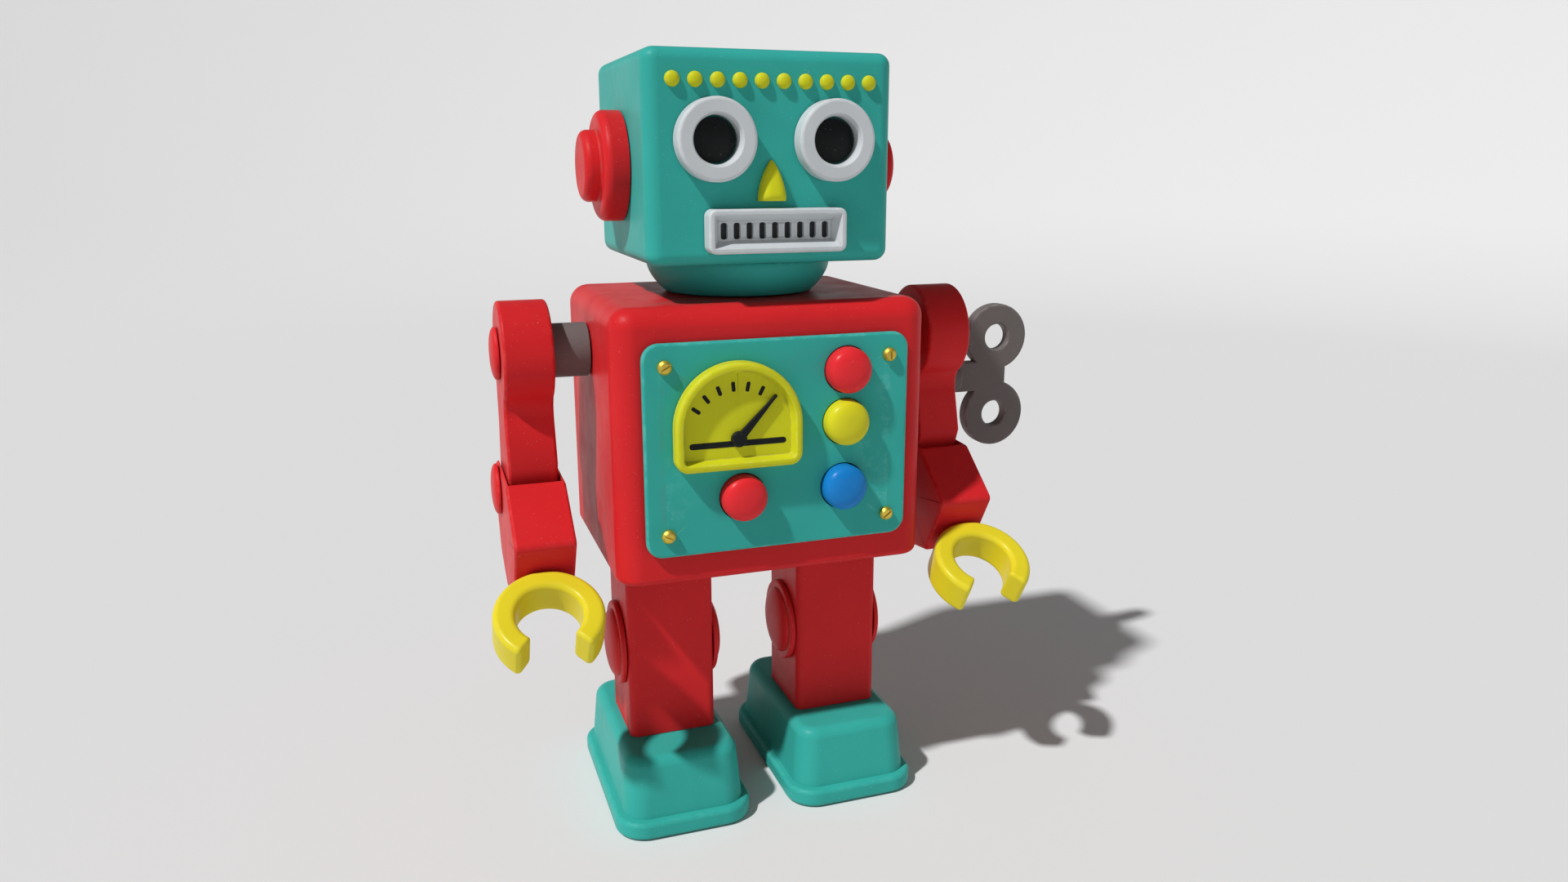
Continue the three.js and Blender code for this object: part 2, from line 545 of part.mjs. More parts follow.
function buildLeg(name, side) {
  const leg = new THREE.Group();
  leg.position.set(0, HIP.y, HIP.z);
  const width = LEG.outer - LEG.inner;
  const depth = LEG.back - LEG.front;
  const middleX = side * (LEG.inner + LEG.outer) / 2;
  const middleY = (LEG.front + LEG.back) / 2 - HIP.y;
  const tube = (inset, from, to) => {
    const section = roundedRect(width - 2 * inset, depth - 2 * inset, LEG.corner - inset);
    return solid(slab(section, to - from, 0, 1, 3).translate(middleX, middleY, from));
  };
  const low = LEG.bottom - HIP.z;
  const high = LEG.top - HIP.z;
  const inX = side * LEG.inner;
  const lean = Math.atan2(CRANK.z - HIP.z, CRANK.y - HIP.y);
  const reach = Math.hypot(CRANK.z - HIP.z, CRANK.y - HIP.y);
  const strip = outline([[3, -6], [reach + 5, -4.4], [reach + 5, 4.4], [3, 6]]);
  const lever = sideways(slab(strip, TIN).rotateZ(lean)).translate(side > 0 ? inX : inX - TIN, 0, 0);
  const slotCut = slab(roundedRect(7.5, 2.8, 1.3), 5 * TIN).translate(reach, 0, 0).rotateZ(lean);
  const slot = sideways(slotCut).translate(inX - 2.5 * TIN, 0, 0);
  const shell = tube(0, low, high).subtract(tube(TIN, low - 1, high + 1)).add(solid(lever))
    .subtract(solid(slot))
    .subtract(rodX(HIP.axleR + GAP, -PAST, PAST))
    .subtract(rodX(KNEE.pinR + GAP, -PAST, PAST, 0, KNEE.z - HIP.z));
  piece(`${name}_leg`, shell, RED, leg);

  const { capR, domeR, ring, tall, pinR } = KNEE;
  const cap = [[capR, 0], [capR, ring - 0.4], [capR - 0.5, ring], [domeR, ring], [domeR * 0.8, tall - 0.6]];
  const pinEnd = width + 1.6;
  const pin = [[0, -pinEnd], [pinR, -pinEnd], [pinR, 0], ...cap, [domeR * 0.4, tall], [0, tall]];
  const pinMesh = piece(`${name}_knee_pin`, solid(alongX(turned(pin, 18))), RED, leg);
  pinMesh.position.set(side * (LEG.outer + GAP), 0, KNEE.z - HIP.z);
  pinMesh.rotation.z = side > 0 ? 0 : Math.PI;
  const socket = [[pinR + GAP, 0], ...cap, [domeR * 0.4, tall], [0, tall], [0, 2], [pinR + GAP, 2]];
  const capMesh = piece(`${name}_knee_cap`, solid(alongX(turned(socket, 18))), RED, leg);
  capMesh.position.set(side * (LEG.inner - GAP), 0, KNEE.z - HIP.z);
  capMesh.rotation.z = side > 0 ? Math.PI : 0;

  const foot = new THREE.Group();
  foot.position.set(side * BOOT.centreX, BOOT.centreY - HIP.y, -HIP.z);
  leg.add(foot);
  piece(`${name}_boot`, bootSolid(), TEAL, foot);
  const sole = slab(roundedRect(BOOT.width - 3.6, BOOT.length - 3.6, 6.2), BOOT.soleThick, 0, 1, 4);
  piece(`${name}_sole`, solid(sole), PLATE_TIN, foot);
  return leg;
}

/** Draw a geometry in towards the Z axis as it rises: by lean of its width for each unit of height. */
function taper(geometry, height, leanX, leanY) {
  const at = geometry.attributes.position;
  for (let i = 0; i < at.count; i += 1) {
    const rise = at.getZ(i) / height;
    at.setX(i, at.getX(i) * (1 - leanX * rise));
    at.setY(i, at.getY(i) * (1 - leanY * rise));
  }
  return geometry;
}

/** Hollow boot, open below: a tapered upper over a rounded bead that runs round the sole. */
function bootSolid() {
  const { width, length, tall, bead, step, lean } = BOOT;
  const upper = taper(roundedBox(width - 2 * step, length - 2 * step, tall, 7, 3, 1), tall, ...lean);
  const rim = slab(roundedRect(width, length, 8), bead, 1.6, 1, 4);
  const wall = step + TIN;
  const below = 3; // the hollow runs out through the floor
  const hollow = roundedBox(width - 2 * wall, length - 2 * wall, tall - TIN + below, 6, 2, 1);
  const inside = taper(hollow, tall, ...lean).translate(0, 0, -below);
  const soleWell = slab(roundedRect(width - 3, length - 3, 6.5), bead - 2.4 + 1, 0, 1, 4).translate(0, 0, -1);
  return solid(upper).add(solid(rim)).subtract(solid(inside)).subtract(solid(soleWell));
}

// ---------------------------------------------------------------- clockwork motor

function buildMotor() {
  const motor = new THREE.Group();
  const { plateX, thick, front, back, bottom, top } = FRAME;
  const plate = outline([
    [front, bottom], [back, bottom], [back, top - 4], [back - 4, top], [front + 6, top], [front, top - 6],
  ]);
  const bearings = [
    [HIP.y, HIP.z, HIP.axleR], [CRANK.y, CRANK.z, CRANK.shaftR], [ARBOR.y, ARBOR.z, ARBOR.r],
    [GOVERNOR.y, GOVERNOR.z, GOVERNOR.shaftR],
  ];
  for (const [name, side] of SIDES) {
    let shape = solid(sideways(slab(plate, thick)).translate(side > 0 ? plateX : -plateX - thick, 0, 0));
    for (const [y, z, r] of bearings) shape = shape.subtract(rodX(r + GAP, -PAST, PAST, y, z));
    if (side > 0) {
      for (const [y, z] of PILLARS) shape = shape.add(rodX(PILLAR_R, GAP - plateX, plateX + 0.5, y, z, 10));
    }
    piece(`motor_plate_${name}`, shape, PLATE_TIN, motor);
  }
  piece('hip_axle', rodX(HIP.axleR, -HIP.axleHalf, HIP.axleHalf, HIP.y, HIP.z), GREY_STEEL, motor);
  piece('mainspring', springSolid(), SPRING_STEEL, motor);

  const arborGroup = new THREE.Group();
  arborGroup.position.set(0, ARBOR.y, ARBOR.z);
  motor.add(arborGroup);
  piece('winding_arbor', rodX(ARBOR.r, -plateX - thick - 0.8, ARBOR.end), GREY_STEEL, arborGroup);
  const ratchetX = 2.6;
  const ratchet = ratchetShape(14, 7, 8.4);
  const ratchetSolid = solid(sideways(slab(ratchet, 1.4)).translate(ratchetX, 0, 0))
    .subtract(rodX(ARBOR.r + PRESSED, -PAST, PAST));
  piece('ratchet_wheel', ratchetSolid, BRASS, arborGroup);
  piece('winding_key', keySolid(), GREY_STEEL, arborGroup);
  const great = gearX(TRAIN.great, 0.6, 2.2, CRANK_ANGLE - Math.PI / TRAIN.great)
    .subtract(rodX(ARBOR.r + GAP, -PAST, PAST));
  piece('great_wheel', great, BRASS, arborGroup);
  const clickShape = outline([[-1.6, 9.8], [1.6, 9.8], [1.4, 12.4], [-1.4, 12.4], [-6.2, 7.7], [-5.3, 7]]);
  const click = solid(sideways(slab(clickShape, 1.2)).translate(ratchetX, 0, 0));
  piece('click', click, SPRING_STEEL, arborGroup);

  const crank = new THREE.Group();
  crank.position.set(0, CRANK.y, CRANK.z);
  motor.add(crank);
  const shaft = rodX(CRANK.shaftR, -10.6, 10.6)
    .add(gearX(TRAIN.crankPinion, 0.2, 2.6, CRANK_ANGLE + Math.PI))
    .add(gearX(TRAIN.wheel, 4.8, 6.2, GOVERNOR_ANGLE - Math.PI / TRAIN.wheel));
  piece('crank_shaft', shaft, BRASS, crank);
  for (const [name, side] of SIDES) {
    const disc = solid(rod(CRANK.discR, 0, 1.6, 24))
      .subtract(solid(rod(CRANK.shaftR + PRESSED, -1, 3)))
      .add(solid(rod(1, 1, CRANK.pinEnd - CRANK.discX, 12)).translate([0, CRANK.throwR, 0]));
    const discMesh = piece(`crank_disc_${name}`, solid(alongX(surfaceOf(disc))), BRASS, crank);
    discMesh.position.x = side * CRANK.discX;
    discMesh.rotation.z = side > 0 ? 0 : Math.PI;
  }

  const governor = rodX(GOVERNOR.shaftR, -8.9, 8.9)
    .add(gearX(TRAIN.governor, 4.4, 6.6, GOVERNOR_ANGLE + Math.PI))
    .add(rodX(GOVERNOR.flywheelR, -6.4, -3.4, 0, 0, 20));
  piece('governor', governor, BRASS, motor).position.set(0, GOVERNOR.y, GOVERNOR.z);
  return motor;
}

/** Ratchet wheel outline: each tooth rises slowly and drops back along a radius. */
function ratchetShape(teeth, root, tip) {
  const points = [];
  for (let i = 0; i < teeth; i += 1) {
    for (const [part, r] of [[0, root], [0.92, tip], [0.98, root]]) {
      const angle = (i + part) * 2 * Math.PI / teeth;
      points.push([r * Math.cos(angle), r * Math.sin(angle)]);
    }
  }
  return outline(points);
}

/** Mainspring: a flat strip wound as an even spiral round the arbor. */
function springSolid() {
  const turns = 5;
  const steps = 14 * turns;
  const thick = 0.6;
  const inner = [];
  const outer = [];
  for (let i = 0; i <= steps; i += 1) {
    const angle = i / steps * turns * 2 * Math.PI;
    const r = ARBOR.r + 0.6 + i / steps * 9;
    inner.push([r * Math.cos(angle), r * Math.sin(angle)]);
    outer.push([(r + thick) * Math.cos(angle), (r + thick) * Math.sin(angle)]);
  }
  const strip = slab(outline([...outer, ...inner.reverse()]), 6.2);
  return solid(sideways(strip).translate(-6.9, ARBOR.y, ARBOR.z));
}

/** Winding key about the arbor axis: two finger eyes on a waisted plate, and a round hub. */
function keySolid() {
  const { eyeX, eyeZ, eyeR, holeR, thick, hubR, hubFrom } = KEY;
  const half = thick / 2;
  let plate = block([hubFrom + 8, -half, -hubR], [eyeX, half, hubR])
    .add(block([eyeX - 7, -half, -7], [eyeX + 3.6, half, 7]));
  for (const z of [-eyeZ, eyeZ]) plate = plate.add(rodY(eyeR, -half, half, eyeX, z, 32));
  for (const z of [-eyeZ, eyeZ]) plate = plate.subtract(rodY(holeR, -half - 1, half + 1, eyeX, z, 20));
  return plate.add(rodX(hubR, hubFrom, hubFrom + 10, 0, 0, 24))
    .subtract(rodX(ARBOR.r + GAP, hubFrom - 1, ARBOR.end + GAP, 0, 0));
}

robot.position.set(PLACE.x, PLACE.y, 0);
robot.add(buildTorso(), buildPanel(), buildGauge(), buildHead(), buildMotor());
for (const [name, side] of SIDES) robot.add(buildArm(name, side), buildLeg(name, side));

export default robot;
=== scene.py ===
import json

import bmesh
import bpy
import numpy as np
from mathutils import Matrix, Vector


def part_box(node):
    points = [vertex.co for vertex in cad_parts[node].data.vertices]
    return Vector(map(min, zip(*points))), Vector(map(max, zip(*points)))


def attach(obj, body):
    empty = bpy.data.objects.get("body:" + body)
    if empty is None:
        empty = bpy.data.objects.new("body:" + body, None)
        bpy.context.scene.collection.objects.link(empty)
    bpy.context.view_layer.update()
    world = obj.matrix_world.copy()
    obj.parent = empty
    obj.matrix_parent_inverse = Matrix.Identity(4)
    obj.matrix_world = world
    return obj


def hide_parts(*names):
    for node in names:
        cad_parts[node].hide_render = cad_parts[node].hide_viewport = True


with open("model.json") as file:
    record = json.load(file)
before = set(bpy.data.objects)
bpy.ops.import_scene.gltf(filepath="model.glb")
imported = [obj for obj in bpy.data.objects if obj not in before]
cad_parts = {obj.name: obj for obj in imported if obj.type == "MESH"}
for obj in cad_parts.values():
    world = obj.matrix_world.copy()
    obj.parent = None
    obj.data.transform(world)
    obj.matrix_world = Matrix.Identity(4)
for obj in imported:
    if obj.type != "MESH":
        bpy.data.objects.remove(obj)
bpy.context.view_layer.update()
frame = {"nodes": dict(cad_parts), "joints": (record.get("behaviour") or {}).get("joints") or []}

# -----------------------------------
# Body. The front pressing and the rear cover are tinplate drawn to a box with soft edges, the
# open floor turned in to a lip. They meet at a seam round the sides and are enamelled red.

MM = 0.001
TIN = 0.8  # wall of every pressed piece, in mm like every size below
neck_low, neck_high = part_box("neck_collar")
MIDDLE = np.array(((neck_low + neck_high) / 2).to_2d().to_3d())  # under the neck's axis, on the floor


def span(node):
    """Lowest and highest corner of a CAD node in mm, measured from the robot's own middle."""
    return [(np.array(corner) - MIDDLE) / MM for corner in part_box(node)]


def hinge(name):
    """Where a joint's axis stands, in mm from the robot's own middle."""
    found = [joint for joint in frame["joints"] if joint["name"] == name][0]
    return (np.array(found["pos_m"]) - MIDDLE) / MM


UP = np.eye(3)
FRONT = np.array([[1, 0, 0], [0, 0, 1], [0, -1, 0]])  # rows: where a shape's own x, y and z point
SIDE = {"left": np.array([[0, 1, 0], [0, 0, 1], [1, 0, 0]]),
        "right": np.array([[0, -1, 0], [0, 0, 1], [-1, 0, 0]])}
SIDES = (("right", -1), ("left", 1))


def arcs(corners, radii, steps=8, closed=True):
    """Corners turned into arcs. Each arc's ends lie radius * tan(turn / 2) from the corner, and its
    points swing from one end's direction to the other's by the sine rule for equal angles."""
    points = np.asarray(corners, float)
    radius = np.broadcast_to(np.asarray(radii, float), len(points)).copy()
    to_last = np.roll(points, 1, 0) - points
    to_next = np.roll(points, -1, 0) - points
    to_last /= np.linalg.norm(to_last, axis=1)[:, None]
    to_next /= np.linalg.norm(to_next, axis=1)[:, None]
    opening = np.arccos(np.clip((to_last * to_next).sum(1), -1, 1))
    turn = np.pi - opening
    if not closed:
        radius[[0, -1]] = 0
    radius = np.maximum(radius, 1e-4)
    bisector = to_last + to_next
    bisector /= np.maximum(np.linalg.norm(bisector, axis=1), 1e-9)[:, None]
    centre = points + bisector * (radius / np.sin(opening / 2))[:, None]
    reach = (radius * np.tan(turn / 2))[:, None]
    first = points + to_last * reach - centre
    last = points + to_next * reach - centre
    part = np.linspace(0, 1, steps + 1)[None, :, None]
    swing = turn[:, None, None]
    path = np.sin((1 - part) * swing) * first[:, None] + np.sin(part * swing) * last[:, None]
    path = path / np.sin(swing) + centre[:, None]
    if not closed:
        path = [points[:1], *path[1:-1], points[-1:]]
    return np.concatenate([row.reshape(-1, 2) for row in path])


def outline(points):
    """Closed loop with its outward direction at each point: the sum of the two edges' normals,
    lengthened so that stepping along it moves both edges by the same distance."""
    keep = np.linalg.norm(points - np.roll(points, 1, 0), axis=1) > 1e-5
    loop = points[keep]
    if np.cross(loop, np.roll(loop, -1, 0)).sum() < 0:
        loop = loop[::-1]
    edge = np.roll(loop, -1, 0) - loop
    edge /= np.linalg.norm(edge, axis=1)[:, None]
    normal = np.stack([edge[:, 1], -edge[:, 0]], 1)
    before = np.roll(normal, 1, 0)
    out = (normal + before) / (1 + (normal * before).sum(1))[:, None]
    return np.concatenate([loop, out], 1)


def rectangle(width, height, radius, steps=8):
    """Outline of a rectangle round the origin with rounded corners."""
    x, y = width / 2, height / 2
    return outline(arcs([[x, -y], [x, y], [-x, y], [-x, -y]], radius, steps))


def rings(loop, profile):
    """Grid of loops: row i is the outline drawn in by profile[i, 0] and lifted to profile[i, 1]."""
    inset, height = np.asarray(profile, float).T
    flat = loop[None, :, :2] - inset[:, None, None] * loop[None, :, 2:]
    lift = np.broadcast_to(height[:, None, None], flat.shape[:2] + (1,))
    return np.concatenate([flat, lift], 2)


def turned(profile, steps=48):
    """Surface of a [radius, height] profile turned once round the z axis."""
    radius, height = np.asarray(profile, float).T
    angle = np.linspace(0, 2 * np.pi, steps, endpoint=False)
    around = np.stack([np.cos(angle), np.sin(angle)], 1)
    flat = radius[:, None, None] * around[None]
    return np.concatenate([flat, np.broadcast_to(height[:, None, None], flat.shape[:2] + (1,))], 2)


def skin(grid):
    """Points and quads of a grid whose columns run all the way round."""
    rows, columns = grid.shape[:2]
    i, j = np.meshgrid(np.arange(rows - 1), np.arange(columns), indexing="ij")
    k = (j + 1) % columns
    quads = np.stack([i * columns + j, i * columns + k, (i + 1) * columns + k, (i + 1) * columns + j], 2)
    return grid.reshape(-1, 3), quads.reshape(-1, 4)


def linked(name, data):
    """A new object in the scene."""
    made = bpy.data.objects.new(name, data)
    bpy.context.scene.collection.objects.link(made)
    return made


def solid(name, grids, axes=UP, at=(0, 0, 0)):
    """Mesh object of closed grids in mm, turned to axes and set at a place measured from the
    robot's middle; points that coincide are merged and the faces turned outwards."""
    bm = bmesh.new()
    for grid in grids:
        points, quads = skin(grid)
        points = (points @ axes + np.asarray(at)) * MM + MIDDLE
        part = bpy.data.meshes.new("part")
        part.from_pydata(points, [], quads)
        bm.from_mesh(part)
        bpy.data.meshes.remove(part)
    bmesh.ops.remove_doubles(bm, verts=bm.verts, dist=1e-7)
    bmesh.ops.recalc_face_normals(bm, faces=bm.faces)
    mesh = bpy.data.meshes.new(name)
    bm.to_mesh(mesh)
    bm.free()
    return linked(name, mesh)


def settle(piece, *modifiers):
    """The piece with its modifiers worked into its mesh."""
    for kind, settings in modifiers:
        added = piece.modifiers.new(kind, kind)
        for key, value in settings.items():
            setattr(added, key, value)
    shape = piece.evaluated_get(bpy.context.evaluated_depsgraph_get())
    mesh = bpy.data.meshes.new_from_object(shape)
    piece.modifiers.clear()
    piece.data = mesh
    return piece


def cut(piece, *cutters):
    """The piece less its cutters, which are removed."""
    for cutter in cutters:
        settle(piece, ("BOOLEAN", {"operation": "DIFFERENCE", "solver": "EXACT", "object": cutter}))
        bpy.data.objects.remove(cutter)
    return piece


def softened(piece, width=0.25, segments=2):
    """The piece with the rims left by cutting broken by a small bevel."""
    limits = {"width": width * MM, "segments": segments, "limit_method": "ANGLE", "angle_limit": 0.9,
              "use_clamp_overlap": True}
    settle(piece, ("BEVEL", limits))
    bm = bmesh.new()
    bm.from_mesh(piece.data)
    bmesh.ops.remove_doubles(bm, verts=bm.verts, dist=4e-6)
    bmesh.ops.dissolve_degenerate(bm, edges=bm.edges, dist=2e-6)
    bmesh.ops.holes_fill(bm, edges=[edge for edge in bm.edges if edge.is_boundary], sides=0)
    bm.to_mesh(piece.data)
    bm.free()
    return piece


def rod(radius, low, high, axes, at, steps=32):
    """A plain closed rod between two heights, used to cut holes."""
    return solid("rod", [turned([[0, low], [radius, low], [radius, high], [0, high]], steps)], axes, at)


def bend(mesh):
    """Vertex attribute of how sharply the surface bends, per mm: at each edge the turn between its
    two faces over the distance between their middles, above 0 on ridges and below 0 in hollows."""
    def read(items, name, width, kind=float):
        values = np.empty(len(items) * width, kind)
        items.foreach_get(name, values)
        return values.reshape(-1, width)

    loops = read(mesh.loops, "edge_index", 1, int)[:, 0]
    counts = read(mesh.polygons, "loop_total", 1, int)[:, 0]
    centres, normals = read(mesh.polygons, "center", 3), read(mesh.polygons, "normal", 3)
    ends = read(mesh.edges, "vertices", 2, int)
    face = np.repeat(np.arange(len(counts)), counts)
    order = np.argsort(loops, kind="stable")
    edge, face = loops[order], face[order]
    pair = np.flatnonzero(edge[1:] == edge[:-1])
    one, two, edge = face[pair], face[pair + 1], edge[pair]
    apart = centres[two] - centres[one]
    turn = np.arccos(np.clip((normals[one] * normals[two]).sum(1), -1, 1))
    sign = -np.sign((apart * normals[one]).sum(1))
    least = 0.05
    rate = sign * turn / np.maximum(np.linalg.norm(apart, axis=1) / MM, least)
    ridge, hollow = np.zeros((2, len(mesh.vertices)))
    for end in ends[edge].T:
        np.maximum.at(ridge, end, rate)
        np.minimum.at(hollow, end, rate)
    value = np.where(ridge > -hollow, ridge, hollow)
    mesh.attributes.new("bend", "FLOAT", "POINT").data.foreach_set("value", value.astype(np.float32))


def finished(piece, material, body, slot, *nodes):
    """The piece smoothed, painted, set on its body and put in the place of its CAD nodes."""
    mesh = piece.data
    mesh.polygons.foreach_set("use_smooth", np.ones(len(mesh.polygons), bool))
    mesh.set_sharp_from_angle(angle=0.7)
    bend(mesh)
    settle(piece, ("WEIGHTED_NORMAL", {"keep_sharp": True, "weight": 60}))
    piece.data.materials.clear()
    piece.data.materials.append(material)
    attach(piece, body)
    if nodes:
        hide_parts(*nodes)
    return piece


def wired(tree, kind, settings=(), **inputs):
    """A node with its settings and inputs: a value is set, and an output socket is linked."""
    node = tree.nodes.new(kind)
    for key, value in dict(settings).items():
        setattr(node, key, value)
    for key, value in inputs.items():
        key = int(key[1:]) if key[1:].isdigit() else key.replace("_", " ")
        if isinstance(value, bpy.types.NodeSocket):
            tree.links.new(value, node.inputs[key])
        else:
            node.inputs[key].default_value = value
    return node


def mixed(group, factor, one, two):
    """One colour turning into another by a factor."""
    return wired(group, "ShaderNodeMix", {"data_type": "RGBA"}, _0=factor, _6=one, _7=two).outputs[2]


def effect_group(name, inputs):
    """A new node group with these inputs, and colour, roughness and height as its outputs; given
    back with its input sockets and the piece's own coordinates."""
    group = bpy.data.node_groups.new(name, "ShaderNodeTree")
    for label, value in inputs.items():
        kind = "NodeSocketColor" if isinstance(value, tuple) else "NodeSocketFloat"
        group.interface.new_socket(label, in_out="INPUT", socket_type=kind).default_value = value
    for label, kind in (("Colour", "Color"), ("Roughness", "Float"), ("Height", "Float")):
        group.interface.new_socket(label, in_out="OUTPUT", socket_type="NodeSocket" + kind)
    given = group.nodes.new("NodeGroupInput").outputs
    return group, given, group.nodes.new("ShaderNodeTexCoord").outputs["Object"]


def put_out(group, colour, roughness, height):
    """The group with its three outputs linked."""
    wired(group, "NodeGroupOutput", Colour=colour, Roughness=roughness, Height=height)
    return group


def enamel_effect():
    """Node group of stoved enamel on tinplate: slow drifts of tone, fine specks, ridges rubbed a
    little paler, hollows that hold some dust, and the faint ripple of sprayed paint."""
    group, given, place = effect_group("stoved_enamel", {
        "Colour": (0.5, 0.5, 0.5, 1), "Rubbed Colour": (0.8, 0.8, 0.8, 1), "Rub": 0.4, "Dust": 0.3,
        "Gloss": 0.4})
    bent = wired(group, "ShaderNodeAttribute", {"attribute_name": "bend"}).outputs["Fac"]

    def noise(scale, detail, rough=0.5):
        made = wired(group, "ShaderNodeTexNoise", Vector=place, Scale=scale, Detail=detail, Roughness=rough)
        return made.outputs["Fac"]

    def band(value, low, high, out_low=0.0, out_high=1.0):
        made = wired(group, "ShaderNodeMapRange", {"interpolation_type": "SMOOTHSTEP"}, Value=value,
                     From_Min=low, From_Max=high, To_Min=out_low, To_Max=out_high)
        return made.outputs["Result"]

    def math(kind, one, two):
        return wired(group, "ShaderNodeMath", {"operation": kind}, _0=one, _1=two).outputs[0]

    tone = band(noise(55, 3), 0.3, 0.7, 0.96, 1.04)
    toned = wired(group, "ShaderNodeHueSaturation", Color=given["Colour"], Value=tone).outputs["Color"]
    speck = math("MULTIPLY", band(noise(2600, 1), 0.74, 0.8), 0.22)
    specked = mixed(group, speck, toned, (0.75, 0.73, 0.7, 1))
    worn = math("MULTIPLY", band(bent, 0.25, 1.5), band(noise(420, 4, 0.65), 0.42, 0.68))
    rubbed = mixed(group, math("MULTIPLY", worn, given["Rub"]), specked, given["Rubbed Colour"])
    held = math("MULTIPLY", band(bent, -0.12, -1.4), band(noise(260, 3), 0.3, 0.65))
    dusty = mixed(group, math("MULTIPLY", held, given["Dust"]), rubbed, (0.16, 0.14, 0.12, 1))
    smear = band(noise(120, 4, 0.6), 0.35, 0.7, -0.03, 0.05)
    rough = math("ADD", math("ADD", given["Gloss"], smear), math("MULTIPLY", worn, 0.12))
    ripple = math("ADD", noise(760, 2), math("MULTIPLY", noise(2400, 1), 0.25))
    return put_out(group, dusty, rough, ripple)


ENAMEL = enamel_effect()


def srgb(red, green, blue):
    """Screen colour, 0 to 255, as the linear colour a shader takes."""
    share = np.array([red, green, blue]) / 255
    linear = np.where(share <= 0.04045, share / 12.92, ((share + 0.055) / 1.055) ** 2.4)
    return (*linear.tolist(), 1.0)


def made_material(name, effect, inputs, height, metallic=0.0, coat=0.0, specular=0.1):
    """Principled material fed by one of the effects: colour, roughness and a bump of that height
    in mm come from the group, and what is the same all over is set on the shader itself."""
    material = bpy.data.materials.new(name)
    material.use_nodes = True
    tree = material.node_tree
    shader = tree.nodes["Principled BSDF"]
    group = wired(tree, "ShaderNodeGroup", {"node_tree": effect}, **inputs)
    bump = wired(tree, "ShaderNodeBump", Height=group.outputs["Height"], Distance=height * MM, Strength=1.0)
    tree.links.new(group.outputs["Colour"], shader.inputs["Base Color"])
    tree.links.new(group.outputs["Roughness"], shader.inputs["Roughness"])
    tree.links.new(bump.outputs["Normal"], shader.inputs["Normal"])
    shader.inputs["Metallic"].default_value = metallic
    shader.inputs["Coat Weight"].default_value = coat
    shader.inputs["Coat Roughness"].default_value = 0.22
    shader.inputs["Specular IOR Level"].default_value = specular
    return material


def enamel(name, colour, rubbed, rub=0.3, dust=0.35, gloss=0.4, coat=0.0):
    """A stoved enamel of one colour."""
    return made_material(name, ENAMEL, {"Colour": srgb(*colour), "Rubbed_Colour": srgb(*rubbed), "Rub": rub,
                                        "Dust": dust, "Gloss": gloss}, 0.02, coat=coat)


red_enamel = enamel("red_enamel", (208, 38, 42), (236, 96, 92))

CORNER, EDGE, FOOT = 6.0, 5.0, 1.8  # radii of the upright edges, the top's edge and the bottom's
LIP = 4.0  # how far the sheet is turned in round the open floor
NECK_HOLE, RIVET_HOLE, KEY_HOLE, SCREW_HOLE = 12.3, 2.1, 2.6, 1.3  # radii
BUTTON_RADIUS, BUTTON_AIR = 5.8, 0.3
body_low, body_front_high = span("body_shell")
cover_low, body_high = span("rear_cover")


def round_hole(ring, radius, heights, middle=(0, 0)):
    """Rings of a round hole, each point in the direction of its point on the ring round the hole."""
    around = ring[:, :2] / np.linalg.norm(ring[:, :2], axis=1)[:, None]
    flat = radius * around + middle
    return [np.concatenate([flat, np.full((len(flat), 1), height)], 1)[None] for height in heights]


def body_box():
    """Closed shell of the whole body: up the outside from the lip round the open floor, over the
    top to the neck hole, and back down the inside a wall's thickness in. Its top and bottom edges
    are arcs in [inset, height], and the top's last ring passes into the round neck hole."""
    loop = rectangle(body_high[0] - body_low[0], body_high[1] - body_low[1], CORNER, 10)

    def wall(inset):
        bottom, top = body_low[2] + inset, body_high[2] - inset
        path = [[LIP, bottom], [inset, bottom], [inset, top], [EDGE + 0.3, top]]
        return rings(loop, arcs(path, [0, FOOT - inset, EDGE - inset, 0], 9, closed=False))

    outside, inside = wall(0), wall(TIN)[::-1]
    hole = round_hole(outside[-1], NECK_HOLE, (body_high[2], body_high[2] - TIN))
    return np.concatenate([outside, *hole, inside, outside[:1]])


def half_of_body(name, seam, keep_front):
    """The body's shell on one side of the seam, its cut edge closed by a face."""
    piece = solid(name, [body_box()], at=(0, (body_low[1] + body_high[1]) / 2, 0))
    bm = bmesh.new()
    bm.from_mesh(piece.data)
    plane = Vector((0, MIDDLE[1] + seam * MM, 0))
    found = bmesh.ops.bisect_plane(bm, geom=[*bm.verts, *bm.edges, *bm.faces], plane_co=plane,
                                   plane_no=(0, 1, 0), clear_outer=keep_front, clear_inner=not keep_front)
    rim = [item for item in found["geom_cut"] if isinstance(item, bmesh.types.BMEdge)]
    bmesh.ops.holes_fill(bm, edges=rim, sides=0)
    bmesh.ops.recalc_face_normals(bm, faces=bm.faces)
    bm.to_mesh(piece.data)
    bm.free()
    return piece


BUTTONS = ("button_red_top", "button_yellow", "button_blue", "button_red_low")
SCREWS = [f"panel_screw_{number}" for number in (1, 2, 3, 4)]


def front_holes(from_y, to_y):
    """Rods along y through every button and screw of the panel."""
    rods = []
    for node in (*BUTTONS, *SCREWS):
        low, high = span(node)
        middle = (low + high) / 2
        radius = SCREW_HOLE if node in SCREWS else BUTTON_RADIUS + BUTTON_AIR
        rods.append(rod(radius, -to_y, -from_y, FRONT, (middle[0], 0, middle[2])))
    return rods


